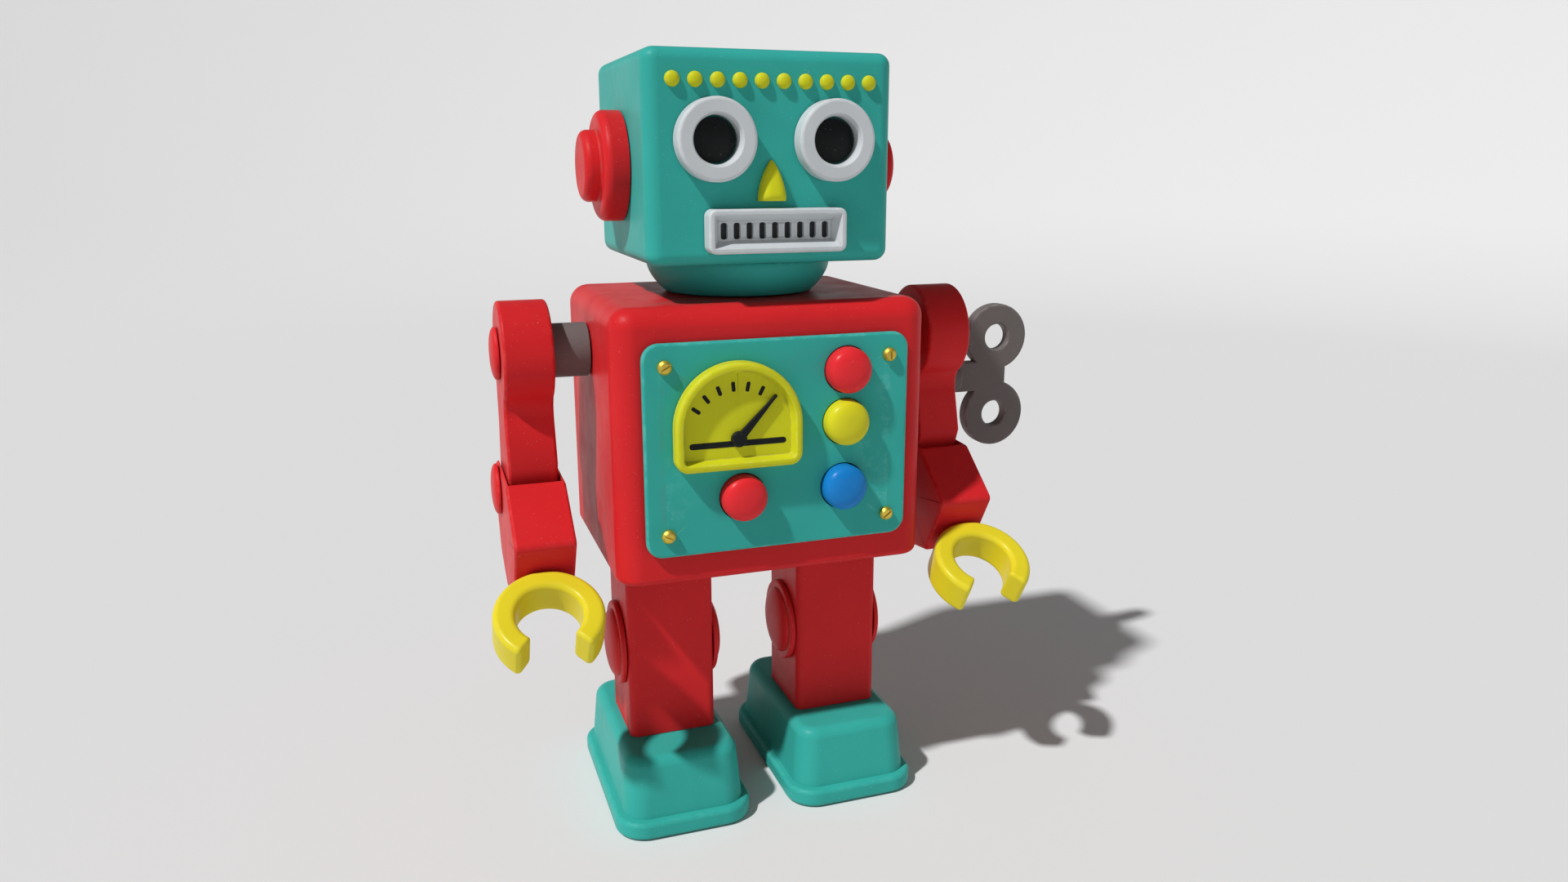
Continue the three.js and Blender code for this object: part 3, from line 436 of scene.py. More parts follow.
shoulder_z = hinge("left_shoulder")[2]
key_axis = hinge("key_wind")
through_side = (body_high[0] - 3, body_high[0] + 2)
front_shell = half_of_body("body_front_pressing", body_front_high[1], True)
side_holes = [rod(RIVET_HOLE, *through_side, SIDE[side], (0, 0, shoulder_z)) for side, _ in SIDES]
key_hole = rod(KEY_HOLE, *through_side, SIDE["left"], (0, *key_axis[1:]))
cut(front_shell, *front_holes(body_low[1] - 1, body_low[1] + 3), *side_holes, key_hole)
finished(softened(front_shell, 0.1, 1), red_enamel, "torso", "red_tinplate", "body_shell")
rear_shell = half_of_body("body_rear_pressing", cover_low[1], False)
finished(rear_shell, red_enamel, "torso", "red_tinplate", "rear_cover")

# -----------------------------------
# Control panel. A thin teal-enamelled plate with rounded corners, screwed to the body's front by
# four brass screws and pierced for the buttons.


def capped(grid, ends=(0, -1)):
    """The grid closed at its ends: a ring just inside the last one, then that ring's middle."""
    for end in ends:
        ring = grid[end]
        middle = ring.mean(0)
        inner = middle + (ring - middle) * 0.97
        rows = [np.broadcast_to(middle, ring.shape)[None], inner[None]]
        grid = np.concatenate([*rows, grid] if end == 0 else [grid, *rows[::-1]])
    return grid


def slab(loop, low, high, inset=0.0):
    """The outline as a flat closed plate between two heights."""
    return capped(rings(loop, [[inset, low], [inset, high]]))


def swung(loop, angle, out=0.0):
    """The outline pushed along x by a distance, then swung round the origin by an angle."""
    spin = np.array([[np.cos(angle), np.sin(angle)], [-np.sin(angle), np.cos(angle)]])
    return np.concatenate([(loop[:, :2] + (out, 0)) @ spin, loop[:, 2:] @ spin], 1)


def metal_effect():
    """Node group of bare metal sheet and turned rod: rolling lines along one way, blotches of
    handling and tarnish, and the fine height of the lines."""
    group, given, place = effect_group("worked_metal", {
        "Colour": (0.6, 0.6, 0.6, 1), "Tarnish": (0.2, 0.18, 0.16, 1), "Tarnish Share": 0.5, "Gloss": 0.4})
    drawn_out = wired(group, "ShaderNodeMapping", Vector=place, Scale=(1, 0.04, 1)).outputs["Vector"]
    lines = wired(group, "ShaderNodeTexNoise", Vector=drawn_out, Scale=1500.0, Detail=3.0).outputs["Fac"]
    blotch = wired(group, "ShaderNodeTexNoise", Vector=place, Scale=140.0, Detail=5.0).outputs["Fac"]
    spread = wired(group, "ShaderNodeMapRange", Value=blotch, From_Min=0.4, From_Max=0.75,
                   To_Min=0.0, To_Max=given["Tarnish Share"]).outputs["Result"]
    tarnished = mixed(group, spread, given["Colour"], given["Tarnish"])
    dull = wired(group, "ShaderNodeMath", {"operation": "MULTIPLY_ADD"}, _0=blotch, _1=0.3,
                 _2=given["Gloss"]).outputs[0]
    return put_out(group, tarnished, dull, lines)


METAL = metal_effect()


def metal(name, colour, tarnish, share, gloss):
    """A bare worked metal."""
    return made_material(name, METAL, {"Colour": srgb(*colour), "Tarnish": srgb(*tarnish),
                                       "Tarnish_Share": share, "Gloss": gloss}, 0.012, metallic=1.0)


teal_enamel = enamel("teal_enamel", (54, 168, 158), (120, 205, 196))
brass_lacquer = metal("lacquered_brass", (236, 210, 96), (150, 116, 40), 0.4, 0.36)
panel_low, panel_high = span("control_panel")


def panel_plate():
    """The plate: a rounded rectangle from its back to its softly rounded front rim."""
    size = panel_high - panel_low
    loop = rectangle(size[0], size[2], 4.2, 8)
    profile = arcs([[0.35, 0], [0, 0], [0, size[1]], [1.2, size[1]]], [0, 0.3, 0.7, 0], 6, closed=False)
    middle = (panel_low + panel_high) / 2
    return solid("panel_plate", [capped(rings(loop, profile))], FRONT, (middle[0], panel_high[1], middle[2]))


plate = panel_plate()
cut(plate, *front_holes(panel_low[1] - 1, panel_high[1] + 0.25))
finished(softened(plate, 0.2), teal_enamel, "torso", "teal_tinplate", "control_panel")


def slotted_screw(node, slot_turn):
    """Pan-head screw: a domed [radius, height] profile with a shank, and a slot cut across it."""
    low, high = span(node)
    middle = (low + high) / 2
    face = panel_low[1]
    tip, proud, seat = face - high[1], face - low[1], 0.05
    head = arcs([[1.75, seat], [1.75, 0.7], [1.2, 1.5], [0, proud]], [0, 0.35, 0.6, 0], 6, closed=False)
    profile = np.concatenate([[[0, tip], [1, tip], [1, seat]], head])
    at = (middle[0], face, middle[2])
    screw = solid(node + "_slotted", [turned(profile, 40)], FRONT, at)
    blade = slab(swung(rectangle(5, 0.45, 0.05, 1), slot_turn), 1.05, 3)
    return softened(cut(screw, solid("slot", [blade], FRONT, at)), 0.08)


for number, node in enumerate(SCREWS):
    screw = slotted_screw(node, 0.5 + 1.1 * number)
    finished(screw, brass_lacquer, "torso", "brass_screw", node)

# -----------------------------------
# Push buttons. Four moulded caps with a soft dome, each held behind the panel by a flange and
# sliding in its hole.

red_cap = enamel("red_cap_plastic", (222, 44, 50), (240, 110, 105), 0.2, 0.2, 0.34, 0.1)
yellow_cap = enamel("yellow_cap_plastic", (212, 206, 36), (236, 232, 120), 0.2, 0.2, 0.34, 0.1)
blue_cap = enamel("blue_cap_plastic", (24, 124, 200), (96, 170, 226), 0.2, 0.2, 0.34, 0.1)


def dome(radius, low, high, fullness, steps=12, lift=1.0):
    """Profile whose radius and height follow the cosine and sine of one angle, each raised to its
    power: a power under 1 squares the dome's shoulder."""
    angle = np.linspace(0, np.pi / 2, steps)
    profile = np.stack([radius * np.cos(angle) ** fullness, low + (high - low) * np.sin(angle) ** lift], 1)
    profile[-1, 0] = 0
    return profile


def button_cap(node):
    """Cap turned from a profile of the flange, the shank and a dome with a squared shoulder."""
    low, high = span(node)
    middle = (low + high) / 2
    face = panel_low[1]
    back, proud, flange = face - high[1], face - low[1], middle[0] - low[0]
    shoulder, fullness = 1.5, 0.8
    foot = [[0, back], [flange, back], [flange, back + 1], [BUTTON_RADIUS, back + 1]]
    cap = np.concatenate([foot, dome(BUTTON_RADIUS, shoulder, proud, fullness, 16, fullness)])
    return solid(node + "_cap", [turned(cap, 56)], FRONT, (middle[0], face, middle[2]))


for node, material, slot in zip(BUTTONS, (red_cap, yellow_cap, blue_cap, red_cap),
                                ("red_button", "yellow_button", "blue_button", "red_button")):
    finished(button_cap(node), material, node, slot, node)

# -----------------------------------
# Gauge. One yellow pressing with a raised rim round a sunken face, a printed scale of a base line
# and seven ticks, and a black needle on a round hub.

yellow_enamel = enamel("yellow_enamel", (204, 204, 34), (232, 230, 120))
black_enamel = enamel("black_enamel", (24, 27, 28), (70, 74, 76), 0.15, 0.1, 0.45, 0.05)
gauge_low, gauge_high = span("gauge_housing")
GAUGE_CORNER, GAUGE_RIM, GAUGE_FACE = 3.2, 2.5, 1.0
gauge_size = gauge_high - gauge_low
gauge_at = ((gauge_low[0] + gauge_high[0]) / 2, gauge_high[1], gauge_low[2])


def gauge_housing():
    """Outline of a rectangle whose upper corners are so round that they meet in an arch, carried
    over the rim and down to the face."""
    half, tall = gauge_size[0] / 2, gauge_size[2]
    corners = [[half, 0], [half, tall], [-half, tall], [-half, 0]]
    arch = half - 0.05
    loop = outline(arcs(corners, [GAUGE_CORNER, arch, arch, GAUGE_CORNER], 14))
    proud = gauge_size[1]
    path = [[0, 0], [0, proud], [1.9, proud], [GAUGE_RIM, GAUGE_FACE], [GAUGE_RIM + 0.45, GAUGE_FACE]]
    profile = arcs(path, [0, 1.1, 0.5, 0.3, 0], 8, closed=False)
    return solid("gauge_pressing", [capped(rings(loop, profile))], FRONT, gauge_at)


finished(gauge_housing(), yellow_enamel, "torso", "yellow_tinplate", "gauge_housing")
needle_low, needle_high = span("gauge_needle")
HUB_RADIUS = 2.0
pivot = np.array([gauge_at[0], needle_low[2] + HUB_RADIUS])


def printed(name, loops):
    """Thin printed marks: closed loops in the gauge's plane, lifted a hair above its face."""
    sunk, ink = -0.05, 0.06
    grids = [slab(loop, sunk, ink) for loop in loops]
    return solid(name, grids, FRONT, (0, gauge_high[1] - GAUGE_FACE, 0))


def gauge_scale():
    """A base line just under the pivot and ticks at even angles round it."""
    ticks, reach, drop = 7, 13.0, 1.2
    line = rectangle(24.6, 1.5, 0.7, 4)
    line[:, 1] -= drop
    marks = [line]
    for angle in np.radians(np.linspace(46, 144, ticks)):
        marks.append(swung(rectangle(2.5, 0.95, 0.4, 4), angle, reach))
    for mark in marks:
        mark[:, :2] += pivot
    return printed("gauge_scale_print", marks)


finished(gauge_scale(), black_enamel, "torso", "black_paint")


def gauge_needle():
    """A pointer that narrows from the hub to its tip, leaning to the right, and a domed hub."""
    lean, reach = 0.75, 14.0
    pointer = outline(arcs([[-1.15, 0], [1.15, 0], [0.3, reach], [-0.3, reach]], 0.25, 4))
    blade = capped(rings(swung(pointer, -lean), [[0.1, 0], [0, 0.1], [0, 0.55], [0.12, 0.7]]))
    path = [[0, 0], [HUB_RADIUS, 0], [HUB_RADIUS, 1.0], [0, 1.0]]
    hub = turned(arcs(path, [0, 0, 0.5, 0], 6, closed=False))
    return solid("gauge_needle_blade", [blade, hub], FRONT, (pivot[0], needle_high[1], pivot[1]))


finished(gauge_needle(), black_enamel, "torso", "black_paint", "gauge_needle")

# -----------------------------------
# Head. A teal box drawn from tinplate, open to the neck below, with a collar whose tube turns in
# the body's neck hole.

head_low, head_high = span("head_shell")
HEAD_CORNER, HEAD_EDGE, FLOOR_HOLE = 3.6, 3.0, 22.0
head_middle = (head_low + head_high) / 2


def head_box():
    """Closed shell: from the outer top's middle down the outside to the round hole in the floor,
    then back up the inside to the inner top's middle."""
    loop = rectangle(*(head_high - head_low)[:2], HEAD_CORNER, 8)

    def wall(inset):
        low, high, far = head_low[2] + inset, head_high[2] - inset, HEAD_EDGE + 0.4
        path = [[far, high], [inset, high], [inset, low], [far, low]]
        return rings(loop, arcs(path, [0, HEAD_EDGE - inset, HEAD_EDGE - inset, 0], 8, closed=False))

    outside, inside = capped(wall(0), (0,)), capped(wall(TIN), (0,))[::-1]
    floor = (head_low[2], head_low[2] + TIN)
    hole = round_hole(outside[-1], FLOOR_HOLE, floor, (0, -head_middle[1]))
    return np.concatenate([outside, *hole, inside])


head_shell = solid("head_pressing", [head_box()], at=(0, head_middle[1], 0))
finished(head_shell, teal_enamel, "head", "teal_tinplate", "head_shell")
collar_low, collar_high = span("neck_collar")


def neck_collar():
    """Profile of the collar: the turning tube with its lip below the body's top, then a bowl that
    swells from the body to the head, its radius rising with the sine of the height."""
    tube, lip, narrow, wide = 12.0, 14.6, 20.0, collar_high[0] - 1.2
    low, foot, top = collar_low[2], body_high[2] + 0.3, collar_high[2]
    rise = np.linspace(0, 1, 12)
    bowl = np.stack([narrow + (wide - narrow) * np.sin(rise * np.pi / 2) ** 0.9,
                     foot + 0.5 + (top - foot - 1.0) * rise], 1)
    inner = bowl[::-1] - [1.0, -0.5]
    inner[0, 1] = top
    path = [[[tube - 1, low], [lip, low], [lip, low + 1], [tube, low + 1], [tube, foot],
             [narrow - 0.6, foot]], bowl,
            [[wide - 0.3, top]], inner, [[tube - 1, foot + 1.2], [tube - 1, low]]]
    return solid("neck_bowl", [turned(np.concatenate(path), 72)])


finished(neck_collar(), teal_enamel, "head", "teal_tinplate", "neck_collar")

# -----------------------------------
# Eyes. Pale grey pressed rings with a wide flat front, each round a black domed lens.

pale_enamel = enamel("pale_grey_enamel", (199, 204, 207), (232, 232, 234), 0.3, 0.45)
EYE_OPENING = 5.6

for side, _ in SIDES:
    low, high = span(side + "_eye_ring")
    middle, proud, radius = (low + high) / 2, high[1] - low[1], (high[0] - low[0]) / 2
    bore = EYE_OPENING
    path = [[bore, 0], [radius, 0], [radius, proud], [bore + 0.5, proud], [bore, 3.2], [bore, 0]]
    ring = turned(arcs(path, [0, 0, 0.9, 0.35, 0.3, 0], 8, closed=False), 64)
    at = (middle[0], high[1], middle[2])
    finished(solid(side + "_eye_rim", [ring], FRONT, at), pale_enamel, "head", "pale_grey_tinplate",
             side + "_eye_ring")
    low, high = span(side + "_eye_lens")
    lens_radius, deep = (high[0] - low[0]) / 2, high[1] - low[1]
    swell, edge = np.linspace(0, 1, 12), 1.0
    bulge = np.stack([lens_radius * (1 - swell), edge + (deep - edge) * np.sin(swell * np.pi / 2)], 1)
    lens = turned(np.concatenate([[[0, 0], [lens_radius, 0]], bulge]), 56)
    finished(solid(side + "_eye_glass", [lens], FRONT, at), black_enamel, "head", "black_paint",
             side + "_eye_lens")

# -----------------------------------
# Ears. Stepped round bosses pressed from red tinplate, a small drum on a larger one.

for side, sign in SIDES:
    low, high = span(side + "_ear")
    middle, proud, disc = (low + high) / 2, high[0] - low[0], (high[1] - low[1]) / 2
    step, drum = 6.0, 8.8
    path = [[0, 0], [disc, 0], [disc, step], [drum, step], [drum, proud], [0, proud]]
    boss = turned(arcs(path, [0, 0, 2.2, 0.5, 1.9, 0], 8, closed=False), 72)
    near = low[0] if sign > 0 else high[0]
    finished(solid(side + "_ear_boss", [boss], SIDE[side], (near, middle[1], middle[2])), red_enamel, "head",
             "red_tinplate", side + "_ear")

# -----------------------------------
# Brow studs, nose and mouth. Ten domed yellow rivets, a pressed nose that narrows to a point, and
# a pale grille with nine slots in a raised frame, over a dark grey sheet that is painted shade for
# the inside of the slots.

stud_low, stud_high = span("brow_studs")
STUD_COUNT, STUD_PITCH, STUD_RADIUS = 10, 5.4, 1.8
stud_face = dome(STUD_RADIUS, 0.1, head_low[1] - stud_low[1], 0.85, 10)
stud = turned(np.concatenate([[[0, -0.4], [STUD_RADIUS, -0.4]], stud_face]), 32)
shifts = (np.arange(STUD_COUNT) - (STUD_COUNT - 1) / 2) * STUD_PITCH
brow = [stud + (shift, 0, 0) for shift in shifts]
brow_at = (0, head_low[1], (stud_low[2] + stud_high[2]) / 2)
finished(solid("brow_rivets", brow, FRONT, brow_at), yellow_enamel, "head", "yellow_tinplate", "brow_studs")


def nose():
    """Level slices up the nose: each is half an oval, its width falling as a quarter circle does and
    its depth falling evenly, and the lowest slices round off the foot."""
    low, high = span("nose")
    half, deep, tall = (high[0] - low[0]) / 2, high[1] - low[1], high[2] - low[2]
    rise = np.concatenate([[0, 0.02, 0.06, 0.12], np.linspace(0.2, 1, 18)])
    width = half * (1 - rise ** 1.7) ** 0.8
    foot = np.minimum(1, 0.75 + rise * 2.5)
    depth = deep * (1 - 0.62 * rise ** 1.2) * foot * (1 - rise ** 9)
    angle = np.linspace(0, 2 * np.pi, 48, endpoint=False)
    front = np.abs(np.sin(angle)) ** 0.8 * (np.sin(angle) < 0)
    x = width[:, None] * np.sign(np.cos(angle)) * np.abs(np.cos(angle)) ** 0.7
    y = -depth[:, None] * front
    grid = np.stack([x, y, np.broadcast_to((rise * tall)[:, None], x.shape)], 2)
    return solid("nose_pressing", [capped(grid)], at=((low[0] + high[0]) / 2, high[1], low[2]))


finished(nose(), yellow_enamel, "head", "yellow_tinplate", "nose")


def mouth():
    """The frame: rounded rectangles carried from its back over the rim and down to the face, each
    drawn in by the profile's inset with its corners tightened to suit, less nine upright slots; and a
    thin dark sheet just behind the slots, which is painted shade for their insides."""
    low, high = span("mouth_grille")
    size, middle = high - low, (low + high) / 2
    rim, face, slots, corner = 2.9, 1.2, 9, 1.8
    path = [[0, 0], [0, size[1]], [1.3, size[1]], [rim, face], [rim + 0.3, face]]
    profile = arcs(path, [0, 0.6, 0.3, 0.2, 0], 7, closed=False)
    rows = []
    for inset, height in profile:
        loop = rectangle(size[0] - 2 * inset, size[2] - 2 * inset, max(corner - inset, 0.45), 6)
        rows.append(np.concatenate([loop[:, :2], np.full((len(loop), 1), height)], 1))
    at = (middle[0], high[1], middle[2])
    grille = solid("mouth_frame", [capped(np.array(rows))], FRONT, at)
    opening = [size[0] - 2 * rim, size[2] - 2 * rim]
    pitch = opening[0] / slots
    slot = slab(rectangle(1.7, opening[1] - 0.7, 0.6, 5), -1, 3)
    for shift in (np.arange(slots) - (slots - 1) / 2) * pitch:
        cut(grille, solid("slot", [slot + (shift, 0, 0)], FRONT, at))
    # A thin dark grey sheet just behind the slots: painted shade, standing in for the shadow inside them.
    painted_shade_backing = slab(rectangle(*opening, 0.4, 2), 0, 0.2)
    return softened(grille, 0.22), solid("mouth_painted_slot_shade", [painted_shade_backing], FRONT, (at[0], at[1] + 0.25, at[2]))


grille, painted_shade_backing = mouth()
finished(grille, pale_enamel, "head", "pale_grey_tinplate", "mouth_grille")
# Flat dark grey of the sheet behind the slots: painted shade inside the mouth's slots.
shadow_grey = enamel("mouth_painted_slot_shade_grey", (58, 60, 62), (80, 82, 84), 0.1, 0.1, 0.6)
finished(painted_shade_backing, shadow_grey, "head", "black_paint")

# -----------------------------------
# Arms. Each hangs on a rivet through a dark spacer. The upper arm is a folded red channel with
# round ends and an open back; the forearm is a wider channel riveted over its elbow.

grey_paint = enamel("grey_steel_paint", (110, 104, 103), (152, 147, 145), 0.5, 0.4, 0.45)
ELBOW_RADIUS, SHANK_RADIUS, WRIST_HOLE = 10.0, 1.8, 3.3
ACROSS = SIDE["left"]  # for a shape drawn in y and z that grows towards the robot's left


def pressed_rivet(node, side):
    """Domed rivet head on its shank, turned from one profile."""
    low, high = span(node)
    middle, radius = (low + high) / 2, (high[1] - low[1]) / 2
    sign = SIDE[side][2, 0]
    inner, outer = sorted((sign * low[0], sign * high[0]))
    tall = 1.8
    shank = inner - (outer - tall)
    foot = [[0, shank], [SHANK_RADIUS, shank], [SHANK_RADIUS, 0], [radius, 0]]
    head = turned(np.concatenate([foot, dome(radius, 0.35, tall, 0.75)]), 56)
    return solid(node + "_head", [head], SIDE[side], (sign * (outer - tall), middle[1], middle[2]))


def channel_rim(wide, turned_in):
    """Profile across a folded channel from cheek to cheek, with rounded edges."""
    path = [[turned_in, 0], [0, 0], [0, wide], [turned_in, wide]]
    return arcs(path, [0, 0.9, 0.9, 0], 6, closed=False)


def upper_arm(node, side):
    """Outline in y and z: an arc round the shoulder, the shank's corners and an arc round the
    elbow. The channel is that outline with a rounded rim, less its inside and its open back."""
    low, high = span(node)
    shoulder, elbow = hinge(side + "_shoulder")[1:], hinge(side + "_elbow")[1:]
    shoulder_radius = high[2] - shoulder[1]
    top = np.radians(np.linspace(-32, 238, 44))
    end = np.radians(np.linspace(200, 350, 26))
    arc_top = shoulder_radius * np.stack([np.cos(top), np.sin(top)], 1)
    arc_end = ELBOW_RADIUS * np.stack([np.cos(end), np.sin(end)], 1) + elbow - shoulder
    waist_front, waist_back = [[-5.9, -13.4], [-5.9, -16.5], [-9.0, -28]], [[11.0, -20]]
    loop = outline(np.concatenate([arc_top, waist_front, arc_end, waist_back]))
    wide, at = high[0] - low[0], (low[0], *shoulder)
    shape = capped(rings(loop, channel_rim(wide, 2.2)))
    arm = solid(node + "_channel", [shape], ACROSS, at)
    cut(arm, solid("inside", [slab(loop, TIN, wide - TIN, TIN)], ACROSS, at))
    back = slab(rectangle(30, 60, 0.1, 1), TIN, wide - TIN)
    cut(arm, solid("opening", [back], ACROSS, (low[0], shoulder[0] + 17, shoulder[1] - 45)))
    for place in (shoulder, elbow):
        cut(arm, rod(RIVET_HOLE, -5, wide + 5, ACROSS, (low[0], *place)))
    return softened(arm, 0.18)


def forearm(node, side):
    """Outline in y and z of the channel's cheeks with rounded corners, less the inside, which opens
    behind and below, and less the holes for the rivet and the claw's shank."""
    low, high = span(node)
    elbow, wrist = hinge(side + "_elbow")[1:], hinge(side + "_wrist")
    wide, at = high[0] - low[0], (low[0], *elbow)
    cheek = [[-17.4, 5.2], [-32.6, -6.4], [-22.6, -23.4], [-5.5, -25.6], [7, -20], [11.6, -10.6], [8, 6.2]]
    loop = outline(arcs(cheek, [2.0, 1.8, 1.6, 3, 4, 5, 2.5], 8))
    shape = capped(rings(loop, channel_rim(wide, 2.0)))
    arm = solid(node + "_channel", [shape], ACROSS, at)
    hollow = [[-16.4, 8], [-16.6, 4.1], [-31.2, -6.8], [-22.2, -22], [-18, -40], [30, -40], [30, 20],
              [-16.4, 20]]
    radii = [0.3, 1.0, 1.4, 0.8, 0.5, 0.5, 0.5, 0.5]
    gap = slab(outline(arcs(hollow, radii, 6)), TIN, wide - TIN)
    inside, pivot_hole = solid("inside", [gap], ACROSS, at), rod(RIVET_HOLE, -5, wide + 5, ACROSS, at)
    cut(arm, inside, pivot_hole, rod(WRIST_HOLE, -6, 6, wrist_axes(side), wrist))
    return softened(arm, 0.18)


def wrist_axes(side):
    """Rows for a shape whose own z runs out of the arm along the wrist's axis."""
    joint = [item for item in frame["joints"] if item["name"] == side + "_wrist"][0]
    out = np.array(joint["axis"], float)
    out /= np.linalg.norm(out)
    along = np.array([1.0, 0, 0])
    return np.array([along, np.cross(out, along), out])


for side, sign in SIDES:
    low, high = span(side + "_shoulder_spacer")
    middle, radius, long = (low + high) / 2, (high[1] - low[1]) / 2, high[0] - low[0]
    near = low[0] if sign > 0 else high[0]
    path = [[RIVET_HOLE, 0], [radius, 0], [radius, long], [RIVET_HOLE, long], [RIVET_HOLE, 0]]
    tube = turned(arcs(path, [0, 0.5, 0.5, 0, 0], 5, closed=False), 56)
    finished(solid(side + "_shoulder_tube", [tube], SIDE[side], (near, *middle[1:])), grey_paint, "torso",
             "grey_steel", side + "_shoulder_spacer")
    for part, shape, body in (("_shoulder_rivet", pressed_rivet, "torso"),
                              ("_upper_arm", upper_arm, side + "_upper_arm"),
                              ("_forearm", forearm, side + "_forearm"),
                              ("_elbow_rivet", pressed_rivet, side + "_forearm")):
        finished(shape(side + part, side), red_enamel, body, "red_tinplate", side + part)

# -----------------------------------
# Claws. Thick C-shaped yellow mouldings with softened edges, each turning on a headed shank that
# passes through the end of its forearm.

claw_plastic = enamel("claw_plastic", (222, 206, 40), (240, 230, 130), 0.25, 0.4, 0.38, 0.15)
CLAW_OUTER, CLAW_INNER, CLAW_WIDE, CLAW_GAP = 13.4, 8.0, 10.0, np.radians(39)


def claw(side):
    """A rounded rectangle carried round the C from one tip to the other; at each tip it is drawn in
    along a quarter circle, so that the tips are rounded too."""
    section = rectangle(CLAW_OUTER - CLAW_INNER, CLAW_WIDE, 1.5, 6)
    round_off = np.linspace(np.pi / 2, 0, 6)
    tip, steps = 1.15, 56
    drawn_in = tip * (1 - np.cos(round_off))
    inset = np.concatenate([drawn_in, np.zeros(steps), drawn_in[::-1]])
    start, stop = np.pi / 2 + CLAW_GAP, 5 * np.pi / 2 - CLAW_GAP
    back = tip / CLAW_OUTER
    at_tip = back * (1 - np.sin(round_off))
    between = np.linspace(start + back, stop - back, steps)
    turn = np.concatenate([start + at_tip, between, stop - at_tip[::-1]])
    flat = section[None, :, :2] - inset[:, None, None] * section[None, :, 2:]
    reach = (CLAW_OUTER + CLAW_INNER) / 2 + flat[..., 0]
    centre = CLAW_OUTER + 0.5
    band = np.stack([reach * np.cos(turn)[:, None], flat[..., 1],
                     centre + reach * np.sin(turn)[:, None]], 2)
    shank = [[0, -3.8], [4.2, -3.8], [4.2, -1.7], [3, -1.7], [3, 2.4], [0, 2.4]]
    stem = turned(arcs(shank, [0, 0.3, 0.3, 0, 0, 0], 4, closed=False), 40)
    return solid(side + "_claw_moulding", [capped(band), stem], wrist_axes(side), hinge(side + "_wrist"))


for side, _ in SIDES:
    finished(claw(side), claw_plastic, side + "_claw", "yellow_claw", side + "_claw")

# -----------------------------------
# Legs and boots. Hollow red box legs rock on an axle inside the body, with stepped bosses at the
# knees. Each stands in a teal boot with a bead round its foot, closed below by a bare tin sole.


AXLE_HOLE = 1.8


def tapered(grid, tall):
    """The grid narrowed towards its top: x and y shrink by a fixed share of the height reached."""
    share = grid[..., 2:] / tall * (0.1, 0.09)
    return np.concatenate([grid[..., :2] * (1 - share), grid[..., 2:]], 2)


for side, sign in SIDES:
    body = side + "_leg"
    low, high = span(side + "_leg")
    hip = hinge(side + "_leg_swing")
    boot_low, boot_high = span(side + "_boot")
    pin_low, pin_high = span(side + "_knee_pin")
    inner, outer = 12.2, 36.0
    leg_front, leg_back, leg_top = low[1], hip[1] + 12.4, hip[2] + 7
    loop = rectangle(outer - inner, leg_back - leg_front, 2.2, 8)
    foot = boot_high[2] - 0.2
    tube = rings(loop, [[0.3, foot], [0, foot + 0.3], [0, leg_top], [TIN, leg_top], [TIN, foot], [0.3, foot]])
    leg = solid(side + "_leg_tube", [tube], at=(sign * (inner + outer) / 2, (leg_front + leg_back) / 2, 0))
    cut(leg, rod(AXLE_HOLE, inner - 5, outer + 5, SIDE[side], (0, *hip[1:])))
    along, up = (hinge("crank_spin") - hip)[1:]
    lean, reach = np.arctan2(up, along), np.hypot(up, along)
    strip = outline(arcs([[3, -6], [reach + 5, -4.4], [reach + 5, 4.4], [3, 6]], 1.5, 5))
    slot = swung(rectangle(7.5, 2.8, 1.3, 5), lean, reach)
    at = (inner if sign > 0 else -inner - TIN, *hip[1:])
    lever = solid(side + "_leg_lever", [slab(swung(strip, lean), 0, TIN)], ACROSS, at)
    cut(lever, solid("slot", [slab(slot, -1, 2)], ACROSS, at))
    finished(leg, red_enamel, body, "red_tinplate", side + "_leg")
    finished(lever, red_enamel, body, "red_tinplate")

    boss, dome_radius, ring, tall = 11.5, 9.4, 1.3, 3.4
    rim = arcs([[boss, 0], [boss, ring], [dome_radius + 0.2, ring]], [0, 0.6, 0], 5, closed=False)
    face = np.concatenate([rim, dome(dome_radius, ring, tall, 0.7)])
    knee = (pin_low + pin_high)[1:] / 2
    tip = inner - outer - 1.6
    shank, cup_wall = [[0, tip], [2, tip], [2, 0]], [[0, 2], [2.3, 2], [2.3, 0]]
    far_side = "left" if side == "right" else "right"
    bosses = (("_knee_boss", "_knee_pin", shank, side, outer + 0.3),
              ("_inner_knee_boss", "_knee_cap", cup_wall, far_side, inner - 0.3))
    for name, node, stem, faces, at_x in bosses:
        shape = turned(np.concatenate([stem, face]), 64)
        piece = solid(side + name, [shape], SIDE[faces], (sign * at_x, *knee))
        finished(piece, red_enamel, body, "red_tinplate", side + node)

    size, middle = boot_high - boot_low, (boot_low + boot_high) / 2
    step, bead, sole, tall = 1.6, 5.0, 2.6, size[2]
    loop = rectangle(size[0], size[1], 8.2, 10)
    inside, roof = step + TIN, tall - TIN
    lining = arcs([[step + 5, roof], [inside, roof], [inside, sole]], [0, 1.9, 0], 8, False)
    rim = arcs([[1.5, sole], [1.5, 0], [0, 0], [0, bead], [step, bead]], [0, 0, 1.4, 1.3, 0], 8, False)
    upper = arcs([[step, bead + 0.1], [step, tall], [step + 5, tall]], [0, 2.8, 0], 8, False)
    grid = np.concatenate([tapered(rings(loop, lining), tall), rings(loop, rim),
                           tapered(rings(loop, upper), tall)])
    boot = solid(side + "_boot_pressing", [capped(grid)], at=(middle[0], middle[1], 0))
    finished(boot, teal_enamel, body, "teal_tinplate", side + "_boot")

# -----------------------------------
# Winding key. A dark grey steel plate with two finger eyes and a round hub, on the arbor that
# carries it out of the body's left side.

key_low = span("winding_key")[0]
arbor_low, arbor_high = span("winding_arbor")
EYE_X, EYE_Z, EYE_RADIUS, EYE_HOLE, KEY_THICK = 89.7, 12.2, 10.3, 4.0, 4.0


